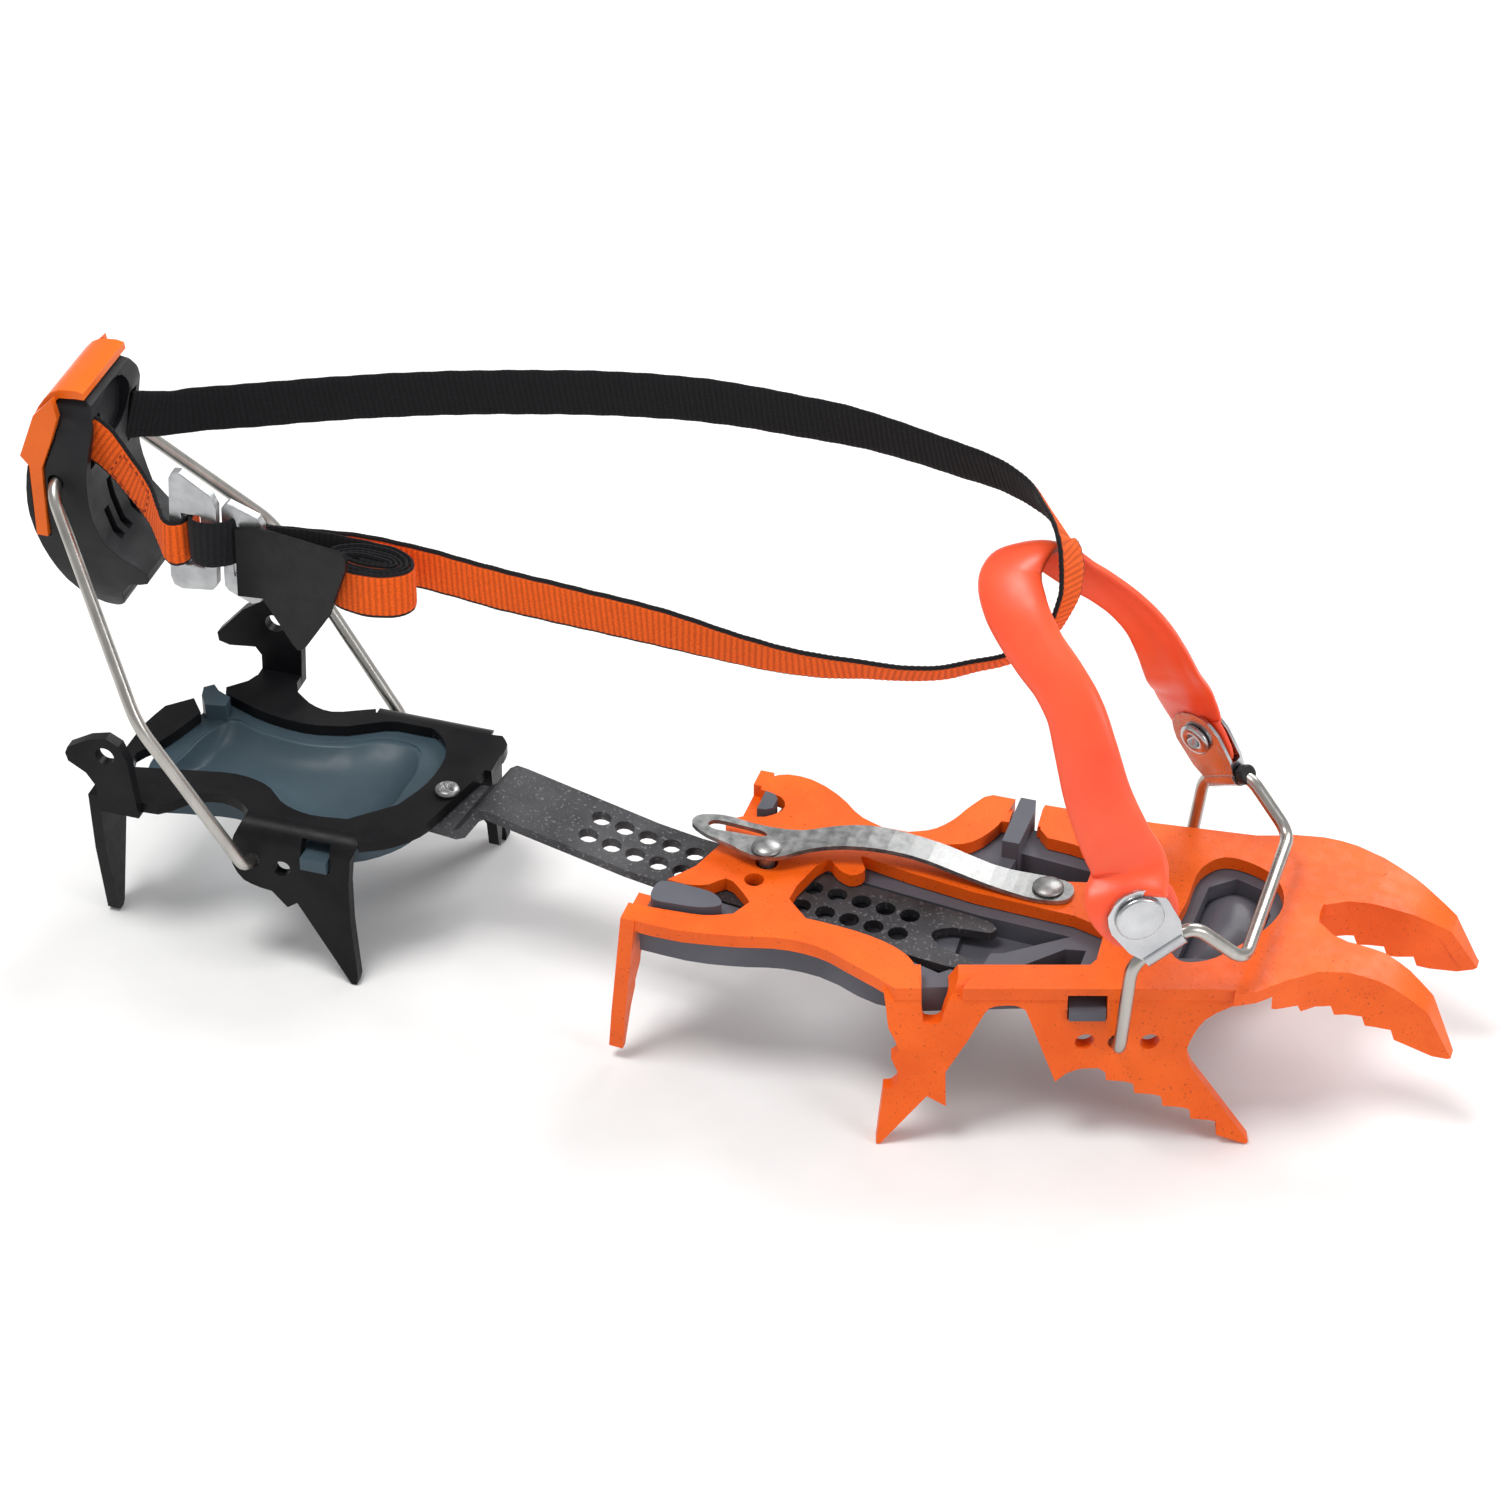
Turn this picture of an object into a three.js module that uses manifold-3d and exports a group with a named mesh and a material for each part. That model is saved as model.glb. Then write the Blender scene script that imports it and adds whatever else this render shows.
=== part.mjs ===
// A step-in crampon for the right boot, in millimetres: +X to the toe, +Y to the inner side of the foot and
// +Z up. A front frame and a heel frame of bent steel sheet are joined by a perforated link bar that slides
// under a spring leaf. A wire toe bail carries a flexible harness, a wire heel bail carries the heel lever,
// and a webbing strap runs from the lever round the harness and back to a buckle.
import * as THREE from "three";
import { mergeVertices } from "three/addons/utils/BufferGeometryUtils.js";
import Module from "manifold-3d";

const wasm = await Module();
wasm.setup();

// Driving dimensions
const ORIGIN_SHIFT = [65.05, 6.68, 5];
const GROUND = -5;
const FRONT_TOP = 39.5;
const FRONT_SHEET = 3.6;
const REAR_TOP = 36;
const REAR_SHEET = 3;
const BEND_RADIUS = 6;
const NEAR_YAW = 17.5;
const FAR_YAW = 4.6;
const FRONT_SPLAY = 9;
const REAR_SPLAY = 8;
const TOOTH_DROP = (FRONT_TOP - GROUND) / Math.cos(THREE.MathUtils.degToRad(FRONT_SPLAY));
const REAR_DROP = (REAR_TOP - GROUND) / Math.cos(THREE.MathUtils.degToRad(REAR_SPLAY));
const REAR_NEAR_Y = -34;
const REAR_FAR_Y = 26.5;
const REAR_NEAR_X = -187;
const REAR_FAR_X = -171;
const BAR_YAW = -7;
const BAR_WIDTH = 20.4;
const BAR_SHEET = 2.4;
const BAR_TILT = 8.5;
const BAR_HOLE_PITCH = 6.5;
const BAR_HOLE_ROWS = 7.6;
const BAR_HOLE_RADIUS = 2.55;
const WIRE_RADIUS = 1.65;
const STRAP_WIDTH = 13;
const STRAP_THICKNESS = 1.5;
const GAP = 0.35;

const ORANGE_PAINT = { color: 0xf4561a, roughness: 0.45, metalness: 0.1 };
const BLACK_PAINT = { color: 0x1b1c1e, roughness: 0.45, metalness: 0.2 };
const BAR_STEEL = { color: 0x3b3c3e, roughness: 0.55, metalness: 0.6 };
const ZINC = { color: 0xb9bcbb, roughness: 0.35, metalness: 0.9 };
const STAINLESS = { color: 0xa9a49d, roughness: 0.3, metalness: 1.0 };
const CAST_SILVER = { color: 0xc9cbcc, roughness: 0.4, metalness: 0.8 };
const GREY_PLASTIC = { color: 0x4b4c54, roughness: 0.5, metalness: 0.0 };
const SLATE_PLASTIC = { color: 0x3d5560, roughness: 0.55, metalness: 0.0 };
const LEVER_PLASTIC = { color: 0x26282b, roughness: 0.6, metalness: 0.0 };
const ORANGE_PLASTIC = { color: 0xe85a14, roughness: 0.45, metalness: 0.0 };
const HARNESS_RUBBER = { color: 0xff4f33, roughness: 0.55, metalness: 0.0 };
const ORANGE_WEB = { color: 0xf5581c, roughness: 0.85, metalness: 0.0 };
const BLACK_WEB = { color: 0x202124, roughness: 0.9, metalness: 0.0 };

const X = new THREE.Vector3(1, 0, 0);
const Y = new THREE.Vector3(0, 1, 0);
const Z = new THREE.Vector3(0, 0, 1);
const vec = (p) => new THREE.Vector3(p[0], p[1], p[2]);
const rad = THREE.MathUtils.degToRad;

// Turns a closed three.js geometry into a solid that can be joined and cut.
function solid(geometry) {
  const plain = new THREE.BufferGeometry();
  plain.setAttribute("position", geometry.getAttribute("position"));
  if (geometry.index) plain.setIndex(geometry.index);
  const merged = mergeVertices(plain, 1e-4);
  const mesh = new wasm.Mesh({
    numProp: 3,
    vertProperties: new Float32Array(merged.getAttribute("position").array),
    triVerts: new Uint32Array(merged.index.array),
  });
  return new wasm.Manifold(mesh);
}

function geometryOf(manifold) {
  const mesh = manifold.getMesh();
  const geometry = new THREE.BufferGeometry();
  geometry.setAttribute("position", new THREE.BufferAttribute(new Float32Array(mesh.vertProperties), 3));
  geometry.setIndex(new THREE.BufferAttribute(new Uint32Array(mesh.triVerts), 1));
  geometry.computeVertexNormals();
  return geometry;
}

const union = (parts) => parts.reduce((sum, part) => sum.add(part));
const cut = (body, parts) => parts.reduce((left, part) => left.subtract(part), body);

// A prism: the outline lies in the plane of the directions u and v through the point at, and is thickened
// from low to high along u cross v.
function prism(outline, at, u, v, low, high) {
  const shape = outline instanceof THREE.Shape ? outline : new THREE.Shape(
    outline.map((p) => new THREE.Vector2(p[0], p[1]))
  );
  const geometry = new THREE.ExtrudeGeometry(
    shape, { depth: high - low, bevelEnabled: false, curveSegments: 10 }
  );
  const w = new THREE.Vector3().crossVectors(u, v).normalize();
  const basis = new THREE.Matrix4().makeBasis(u, v, w);
  basis.setPosition(vec(at).addScaledVector(w, low));
  geometry.applyMatrix4(basis);
  return solid(geometry);
}

const plate = (outline, bottom, top) => prism(outline, [0, 0, 0], X, Y, bottom, top);

// A shape whose listed points are joined by a smooth closed curve.
function blob(points, samples = points.length * 4) {
  const curve = new THREE.CatmullRomCurve3(
    points.map((p) => new THREE.Vector3(p[0], p[1], 0)), true, "centripetal"
  );
  return new THREE.Shape(curve.getPoints(samples).slice(0, -1).map((p) => new THREE.Vector2(p.x, p.y)));
}

// A smooth open curve through the points, as a list of points to put inside an outline.
function arc(points, samples = points.length * 2) {
  const curve = new THREE.CatmullRomCurve3(
    points.map((p) => new THREE.Vector3(p[0], p[1], 0)), false, "centripetal"
  );
  return curve.getPoints(samples).map((p) => [p.x, p.y]);
}

function oval(x, y, halfLength, halfWidth, angle = 0) {
  const shape = new THREE.Shape();
  shape.absellipse(x, y, halfLength, halfWidth, 0, Math.PI * 2, false, rad(angle));
  return shape;
}

// A round bar between two points.
function rod(from, to, radius, sides = 20) {
  const a = vec(from);
  const b = vec(to);
  const geometry = new THREE.CylinderGeometry(radius, radius, a.distanceTo(b), sides);
  const turn = new THREE.Quaternion().setFromUnitVectors(Y, b.clone().sub(a).normalize());
  geometry.applyQuaternion(turn);
  const middle = a.add(b).multiplyScalar(0.5);
  geometry.translate(middle.x, middle.y, middle.z);
  return solid(geometry);
}

// A bent wire: straight runs between the points, with rounded corners.
function wire(points, radius, corner, steps, sides = 10) {
  const path = new THREE.CurvePath();
  const nodes = points.map(vec);
  let start = nodes[0];
  for (let i = 1; i < nodes.length - 1; i += 1) {
    const before = nodes[i].clone().sub(nodes[i - 1]);
    const after = nodes[i + 1].clone().sub(nodes[i]);
    const reach = Math.min(corner, before.length() * 0.45, after.length() * 0.45);
    const into = nodes[i].clone().addScaledVector(before.normalize(), -reach);
    const out = nodes[i].clone().addScaledVector(after.normalize(), reach);
    path.add(new THREE.LineCurve3(start, into));
    path.add(new THREE.QuadraticBezierCurve3(into, nodes[i], out));
    start = out;
  }
  path.add(new THREE.LineCurve3(start, nodes[nodes.length - 1]));
  const section = new THREE.Shape();
  section.absarc(0, 0, radius, 0, Math.PI * 2, false);
  const geometry = new THREE.ExtrudeGeometry(section, {
    extrudePath: path,
    steps,
    curveSegments: sides,
    bevelEnabled: false,
  });
  return solid(geometry);
}

// A flat band along a smooth curve. Each station is [centre, direction across the band, width, thickness].
function ribbon(stations, steps) {
  const centre = new THREE.CatmullRomCurve3(stations.map((s) => vec(s[0])), false, "centripetal");
  const across = new THREE.CatmullRomCurve3(
    stations.map((s) => vec(s[1]).normalize()), false, "catmullrom", 0.5
  );
  const sizes = new THREE.CatmullRomCurve3(
    stations.map((s) => new THREE.Vector3(s[2] ?? STRAP_WIDTH, s[3] ?? STRAP_THICKNESS, 0)),
    false,
    "catmullrom",
    0.5,
  );
  const positions = [];
  for (let i = 0; i <= steps; i += 1) {
    const t = i / steps;
    const p = centre.getPoint(t);
    const tangent = centre.getTangent(t);
    const a = across.getPoint(t);
    a.addScaledVector(tangent, -a.dot(tangent)).normalize();
    const n = new THREE.Vector3().crossVectors(tangent, a);
    const size = sizes.getPoint(t);
    for (const [ia, it] of [[-1, -1], [1, -1], [1, 1], [-1, 1]]) {
      const corner = p.clone().addScaledVector(a, (ia * size.x) / 2).addScaledVector(n, (it * size.y) / 2);
      positions.push(corner.x, corner.y, corner.z);
    }
  }
  const index = [];
  for (let i = 0; i < steps; i += 1) {
    for (let k = 0; k < 4; k += 1) {
      const a = i * 4 + k;
      const b = i * 4 + ((k + 1) % 4);
      index.push(a, b, b + 4, a, b + 4, a + 4);
    }
  }
  const end = steps * 4;
  index.push(0, 2, 1, 0, 3, 2, end, end + 1, end + 2, end, end + 2, end + 3);
  const geometry = new THREE.BufferGeometry();
  geometry.setAttribute("position", new THREE.Float32BufferAttribute(positions, 3));
  geometry.setIndex(index);
  const made = solid(geometry);
  return made.volume() < 0 ? solid(flipped(geometry)) : made;
}

function flipped(geometry) {
  const index = geometry.index.array;
  for (let i = 0; i < index.length; i += 3) [index[i], index[i + 1]] = [index[i + 1], index[i]];
  return geometry;
}

// A side flange folded down from a sheet. Its outline is drawn on the flange: s along the fold from the point
// corner, t down from the sheet's top. The fold is rounded and the flange leans outwards by splay.
function flange(outline, holes, corner, yaw, top, sheet, splay, side, flat) {
  const along = new THREE.Vector3(Math.cos(rad(yaw)), Math.sin(rad(yaw)), 0);
  const out = new THREE.Vector3(Math.sin(rad(yaw)) * side, -Math.cos(rad(yaw)) * side, 0);
  const lean = rad(splay);
  const bend = [];
  const inner = BEND_RADIUS - sheet;
  const foot = 60;
  const swing = Math.PI / 2 - lean;
  const centre = [-BEND_RADIUS, -BEND_RADIUS];
  for (let i = 0; i <= 6; i += 1) {
    const a = Math.PI / 2 - (swing * i) / 6;
    bend.push([centre[0] + BEND_RADIUS * Math.cos(a), centre[1] + BEND_RADIUS * Math.sin(a)]);
  }
  const last = bend[bend.length - 1];
  bend.push([last[0] + foot * Math.sin(lean), last[1] - foot * Math.cos(lean)]);
  const inside = [];
  for (let i = 0; i <= 6; i += 1) {
    const a = Math.PI / 2 - (swing * i) / 6;
    inside.push([centre[0] + inner * Math.cos(a), centre[1] + inner * Math.sin(a)]);
  }
  const lastIn = inside[inside.length - 1];
  inside.push([lastIn[0] + foot * Math.sin(lean), lastIn[1] - foot * Math.cos(lean)]);
  const section = [[-flat, 0], ...bend, ...inside.reverse(), [-flat, -sheet]];
  const at = [corner[0], corner[1], top];
  const profile = prism(section, at, out, Z, -90, 90);
  const drawn = outline.map(([s, t]) => [s, -t * Math.cos(lean)]);
  const mask = prism(drawn, at, along, Z, -40, 40);
  const cutters = holes.map(
    ([s, t, a, b, angle]) => prism(oval(s, -t * Math.cos(lean), a, b, angle), at, along, Z, -14, 14)
  );
  return cut(profile.intersect(mask), cutters);
}

const crampon = new THREE.Group();

function add(name, manifold, finish) {
  const mesh = new THREE.Mesh(geometryOf(manifold), new THREE.MeshStandardMaterial(finish));
  mesh.name = name;
  crampon.add(mesh);
}

// Front frame -------------------------------------------------------------------------------------------

const NEAR_CORNER = [11.8, -41.7];
const FAR_CORNER = [4, 31];
const BAR_START = [-2.8, -22.7];
const barDirection = new THREE.Vector3(Math.cos(rad(BAR_YAW)), Math.sin(rad(BAR_YAW)), 0);
const barAcross = new THREE.Vector3(-Math.sin(rad(BAR_YAW)), Math.cos(rad(BAR_YAW)), 0);
const barPoint = (s, side, z) => {
  const p = vec([BAR_START[0], BAR_START[1], z]);
  p.addScaledVector(barDirection, s).addScaledVector(barAcross, side);
  return [p.x, p.y, p.z];
};

const SERRATION_PITCH = 7.3;
function serrations(start, count, stepAlong, stepDown) {
  const points = [];
  for (let i = 0; i < count; i += 1) {
    const s = start[0] + i * stepAlong;
    const t = start[1] + i * stepDown;
    points.push(
      [s, t], [s + 0.3, t + 2.2], [s + stepAlong - 2.2, t + 2.6], [s + stepAlong - 0.4, t + stepDown - 0.6]
    );
  }
  return points;
}

function frontFrame() {
  const rearArms = [
    ...arc([[-82, -37.8], [-72, -37.4], [-64, -36.6], [-58, -34]]),
    ...arc([[-55.5, -28.5], [-58.5, -25.2], [-63.5, -21.4], [-67.5, -25.2], [-72, -26.6], [-77.5, -26.2]]),
    [-72.5, -19],
    ...arc([[-68.5, -6], [-70.5, -0.5], [-68, 3.2], [-62, 5], [-58.5, 9.5], [-60, 13.5], [-66.5, 15.4]]),
    ...arc(
      [[-66.5, 15.4], [-66.2, 20], [-62.5, 23.2], [-55.2, 23.2], [-46.2, 18.6], [-39.3, 12.6], [-32.7, 9.9]]
    ),
    ...arc([[-26, 10], [-20.5, 12.8], [-16.6, 18], [-14.2, 24], [-11.5, 29.6]], 10),
    [-9.5, 31],
    [-3.7, 31],
    ...arc([[-4.2, 24], [-5.8, 17.6], [-10.2, 10.4], [-17, 7.4]], 8),
    [-24, 5.5],
    [-30, 3.6],
    ...arc([[-34.5, -3.4], [-32, -8.2], [-34.6, -11], [-38.6, -9.4], [-41.6, -6.6], [-44, -10]], 12),
    [-46.3, -19],
    [-46.6, -24.4],
    ...arc(
      [[-40.5, -30.3], [-34.7, -30.6], [-24.6, -31.8], [-16.6, -34.3], [-11.6, -37.6], [-8.6, -42.4]], 12
    ),
    [-6.3, -47.3],
    [-12.2, -49.2],
    ...arc(
      [[-18.3, -46.3], [-26.3, -42.9], [-33.6, -40], [-43.5, -39.4], [-55.5, -42.2], [-67.9, -44.2]], 14
    ),
    [-76, -44.2],
    [-82, -43.6],
  ];
  const toeSection = [
    ...arc([[3.2, -44.4], [4.4, -39.5], [8, -37], [12, -35.4]], 8),
    ...arc([[24.6, -30.6], [29.2, -28.2], [31.2, -24]], 6),
    [30.4, -12],
    [22, -9.6],
    [-3.7, -8.2],
    [-20.7, -5.6],
    [-34, -2.8],
    [-30, 3.4],
    [-8, 3.2],
    [14, 2],
    ...arc([[24, 4.6], [26.5, 10], [23, 15.2], [15, 17.6], [8, 18.2]], 10),
    ...arc([[5.4, 21], [3.9, 28], [4, 31]], 5),
    [32, 32.2],
    [57.7, 35],
    ...arc([[57.7, 35], [66, 37.6], [74, 39.4], [82.6, 38.6], [89, 36]], 8),
    [92, 30],
    ...arc([[88, 25.6], [82.6, 20.6], [79.6, 14.6], [79.2, 8.6], [81, 3.4], [85.4, 0.6], [90, 0]], 14),
    [90, -9],
    ...arc([[83.4, -12], [76.7, -17.3], [70, -24.6]], 6),
    [62, -26],
    [14, -41],
  ];
  const toeHole = blob(
    [
      [46, -12], [47, 4], [47.5, 18], [52, 24], [60, 23.4], [66.6, 19], [69.8, 11], [68.6, 2], [63, -8.4],
      [56.6, -16.4], [50.5, -18.4],
    ]
  );
  const rearPlate = plate(rearArms, FRONT_TOP - FRONT_SHEET, FRONT_TOP);
  const frontPlate = plate(toeSection, FRONT_TOP - FRONT_SHEET, FRONT_TOP);

  const nearTeeth = [
    [-28.4, -9],
    ...arc([[-28.2, 0], [-27.2, 7], [-26.6, 12], [-23.9, 18.6], [-25.8, 20.6]], 8),
    ...arc([[-24.2, 24.5], [-24.2, 27.4], [-25.6, 29]], 4),
    [-27.6, 29.2],
    [-29.2, TOOTH_DROP],
    [-28.2, TOOTH_DROP],
    [-17, 31.3],
    [-12.3, 34.2],
    [-12.6, 24.4],
    ...arc([[-7.3, 15.3], [-4.4, 9.4], [-2.4, 6.2], [0.4, 5.5], [4, 5.5], [6.4, 6.8]], 10),
    [14.1, 27.1],
    ...arc([[16.6, 24.8], [20, 23.4], [24.6, 23.2]], 5),
    ...serrations([26.2, 24.4], 4, SERRATION_PITCH - 0.3, 3.7),
    [54, 42.4],
    [61.4, TOOTH_DROP],
    [61.9, TOOTH_DROP - 0.8],
    ...arc([[47.3, 23.4], [45.7, 18.6], [47.2, 13.6], [50.2, 9], [58.4, 4.4], [68, -1]], 12),
    [68, -9],
    [-7.2, -9],
    ...arc(
      [
        [-8, -3], [-10.4, 1], [-12.6, 4.6], [-13.9, 9.8], [-15, 10.6], [-17.6, 10.6], [-18.4, 9.8],
        [-18.8, 0],
      ],
      12
    ),
    [-18.8, -9],
  ];
  const bailHoles = [[20.9, 15.6, 2.5, 2, 25], [28.9, 15.6, 2.5, 2.1, 25], [36.6, 15.6, 2.5, 2, 25]];
  const near = flange(
    nearTeeth, bailHoles, NEAR_CORNER, NEAR_YAW, FRONT_TOP, FRONT_SHEET, FRONT_SPLAY, 1, 9
  );
  const nearWindow = flangeBlock([16.4, 2.2, 26, 9.4], NEAR_CORNER, NEAR_YAW, FRONT_TOP, FRONT_SPLAY, 1);

  const farTeeth = [
    [-16.4, -9],
    [-16.4, 2],
    ...arc([[-15.8, 8], [-14.8, 14], [-13.4, 18.6], [-14.6, 20.8], [-13.6, 24.4], [-13.8, 28.6]], 10),
    [-16.2, 29.2],
    [-17.4, TOOTH_DROP],
    [-16.4, TOOTH_DROP],
    [-6.4, 31.3],
    [-1.8, 34.2],
    [-2, 24.4],
    ...arc([[3, 15.3], [6, 9.4], [8.4, 6.4], [11.4, 5.5], [15, 5.5], [17, 6.8]], 10),
    [24.1, 27.1],
    ...arc([[26.6, 24.8], [30, 23.4], [34.6, 23.2]], 5),
    ...serrations([36.2, 24.4], 4, SERRATION_PITCH - 0.3, 3.7),
    [64, 42.4],
    [71.4, TOOTH_DROP],
    [71.9, TOOTH_DROP - 0.8],
    ...arc([[57.3, 23.4], [55.7, 18.6], [56.6, 13.6], [58.6, 9], [62, 4.4], [64, -1]], 12),
    [64, -9],
    [0.4, -9],
    ...arc([[0, -3], [-0.4, 1], [-0.8, 9.6], [-1.8, 10.6], [-5.6, 10.6], [-6.8, 9.6], [-7.6, 0]], 12),
    [-7.6, -9],
  ];
  const farHoles = [[28.3, 15.6, 2.5, 2, 25], [36, 15.6, 2.5, 2.1, 25], [43.7, 15.6, 2.5, 2, 25]];
  const far = flange(farTeeth, farHoles, FAR_CORNER, FAR_YAW, FRONT_TOP, FRONT_SHEET, FRONT_SPLAY, -1, 9);
  const farWindow = flangeBlock([22, 2.2, 31, 9.4], FAR_CORNER, FAR_YAW, FRONT_TOP, FRONT_SPLAY, -1);

  return cut(union(
    [
      rearPlate, frontPlate, near, far, armTooth(-82, -44, 1, 0.08, GROUND + 3.5),
      armTooth(-67, 23, -1, 0, GROUND), ...frontPoints(),
    ]
  ), [
    nearWindow,
    farWindow,
    plate(toeHole, FRONT_TOP - 12, FRONT_TOP + 5),
    rod(barPoint(-54.2, BAR_HOLE_ROWS / 2, 20), barPoint(-54.2, BAR_HOLE_ROWS / 2, 60), 2.9),
    rod(barPoint(-54.2, -BAR_HOLE_ROWS / 2, 20), barPoint(-54.2, -BAR_HOLE_ROWS / 2, 60), 2.5),
    rod([13.6, -3, 20], [13.6, -3, 60], 2.4),
  ]);
}

// A block through a flange, used to cut a window and to fit the clip that fills it.
function flangeBlock([s0, t0, s1, t1], corner, yaw, top, splay, side, shrink = 0, reach = 14) {
  const along = new THREE.Vector3(Math.cos(rad(yaw)), Math.sin(rad(yaw)), 0);
  const c = Math.cos(rad(splay));
  const box = [
    [s0 + shrink, -(t0 + shrink) * c],
    [s1 - shrink, -(t0 + shrink) * c],
    [s1 - shrink, -(t1 - shrink) * c],
    [s0 + shrink, -(t1 - shrink) * c],
  ];
  return prism(box.reverse(), [corner[0], corner[1], top], along, Z, -reach, reach);
}

// The tooth folded down across the end of a rear arm, serrated on its inner edge. It leans back by lean for
// each millimetre down, and its tip stops at the height tip.
function armTooth(x, outerY, side, lean, tip) {
  const z = FRONT_TOP;
  const edge = [
    [0, 0],
    [-0.6, -10],
    [-1.6, -30],
    [-1.4, tip - z],
    [0.6, tip - z],
    [3.2, -30],
    [5.6, -25.5],
    [5.2, -23.4],
    [8.4, -19.6],
    [8.2, -17.2],
    [11.6, -12.6],
    [11.4, -10.6],
    [14.6, -6],
    [14.8, -3.6],
    [6.2, -3.6],
    [6.2, 0],
  ];
  const across = new THREE.Vector3(0, side, 0);
  const fold = new THREE.Vector3(lean, 0, 1);
  return prism(edge, [x, outerY, z], across, fold, -FRONT_SHEET / 2, FRONT_SHEET / 2);
}

// The two front points: blades that bend down past the toe, serrated below and bevelled at the tip.
function frontPoints() {
  const blade = [
    [72, 39.5],
    [83, 39.5],
    ...arc([[90, 39.5], [98, 38.6], [104, 36.4], [110.5, 32.6]], 6),
    [117.3, 20.2],
    [116.4, 19.7],
    [112.6, 19.4],
    [103, 21.6],
    [102, 24.4],
    [95.6, 23.9],
    [94.6, 26.6],
    [88, 26],
    [87, 28.8],
    [80.4, 28.2],
    [79.6, 30.4],
    [75, 31.2],
    [72, 33],
  ];
  const tread = [
    [66, 39.5],
    [83, 39.5],
    ...arc([[90, 39.5], [98, 38.6], [104, 36.4], [110.5, 32.6]], 6),
    [117.3, 20.2],
    [113.6, 20.4],
    ...arc([[108.2, 30], [102.6, 33.4], [97.4, 35.4], [90, 35.9]], 6),
    [66, 35.9],
  ];
  const points = [];
  for (const side of [-1, 1]) {
    const outline = side < 0
      ? [
        [66, -27], [71, -24], [77, -17.6], [83.4, -12.3], [90.8, -10.4], [98, -10.4], [106, -11],
        [112, -11.6], [118, -11.8], [118, -9], [111, -4.6], [104, -1.6], [97, 0.4], [88, 0.9], [84, 2.4],
        [80, 6], [66, 6],
      ]
      : [
        [66, 38], [74, 39.4], [82.6, 38.6], [90, 35.8], [97, 32.4], [104, 29.4], [111, 27.2], [118, 26.4],
        [118, 24.2], [111, 20.8], [104, 18.6], [97, 17.4], [91, 17.2], [85, 16.4], [80, 13.4], [66, 10],
      ];
    const drawn = side < 0 ? outline : outline.slice().reverse();
    const strip = prism(tread, [0, 0, 0], X, Z, -60, 60).intersect(plate(drawn, 0, 60));
    const bladeLine = side < 0
      ? [
        [74, -20.3], [83.4, -12.4], [90.8, -10.4], [98, -10.4], [106, -11], [118, -11.8], [118, -8.6],
        [106, -7.4], [98, -6.8], [91, -6.8], [85.4, -8.6], [76.4, -16.2],
      ]
      : [
        [76, 13], [85, 16.3], [91, 17.2], [98, 17.4], [106, 19.2], [118, 24.2], [118, 27], [106, 22.8],
        [98, 21], [91, 20.8], [84, 20], [76, 17],
      ];
    const wall = prism(blade, [0, 0, 0], X, Z, -60, 60).intersect(plate(bladeLine, 0, 60));
    points.push(strip.add(wall));
  }
  return points;
}

add("front_frame", frontFrame(), ORANGE_PAINT);

// Link bar and its lock --------------------------------------------------------------------------------

const BAR_TOP = FRONT_TOP - FRONT_SHEET - GAP;
const BAR_REAR_TOP = REAR_TOP - REAR_SHEET - GAP;
const BAR_FORK = 6;
const BAR_BEND = -81;
const BAR_STEP = -127;
const BAR_END = -149;
const BAR_FIRST_HOLE = -100;
const BAR_HOLES = 14;

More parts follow.
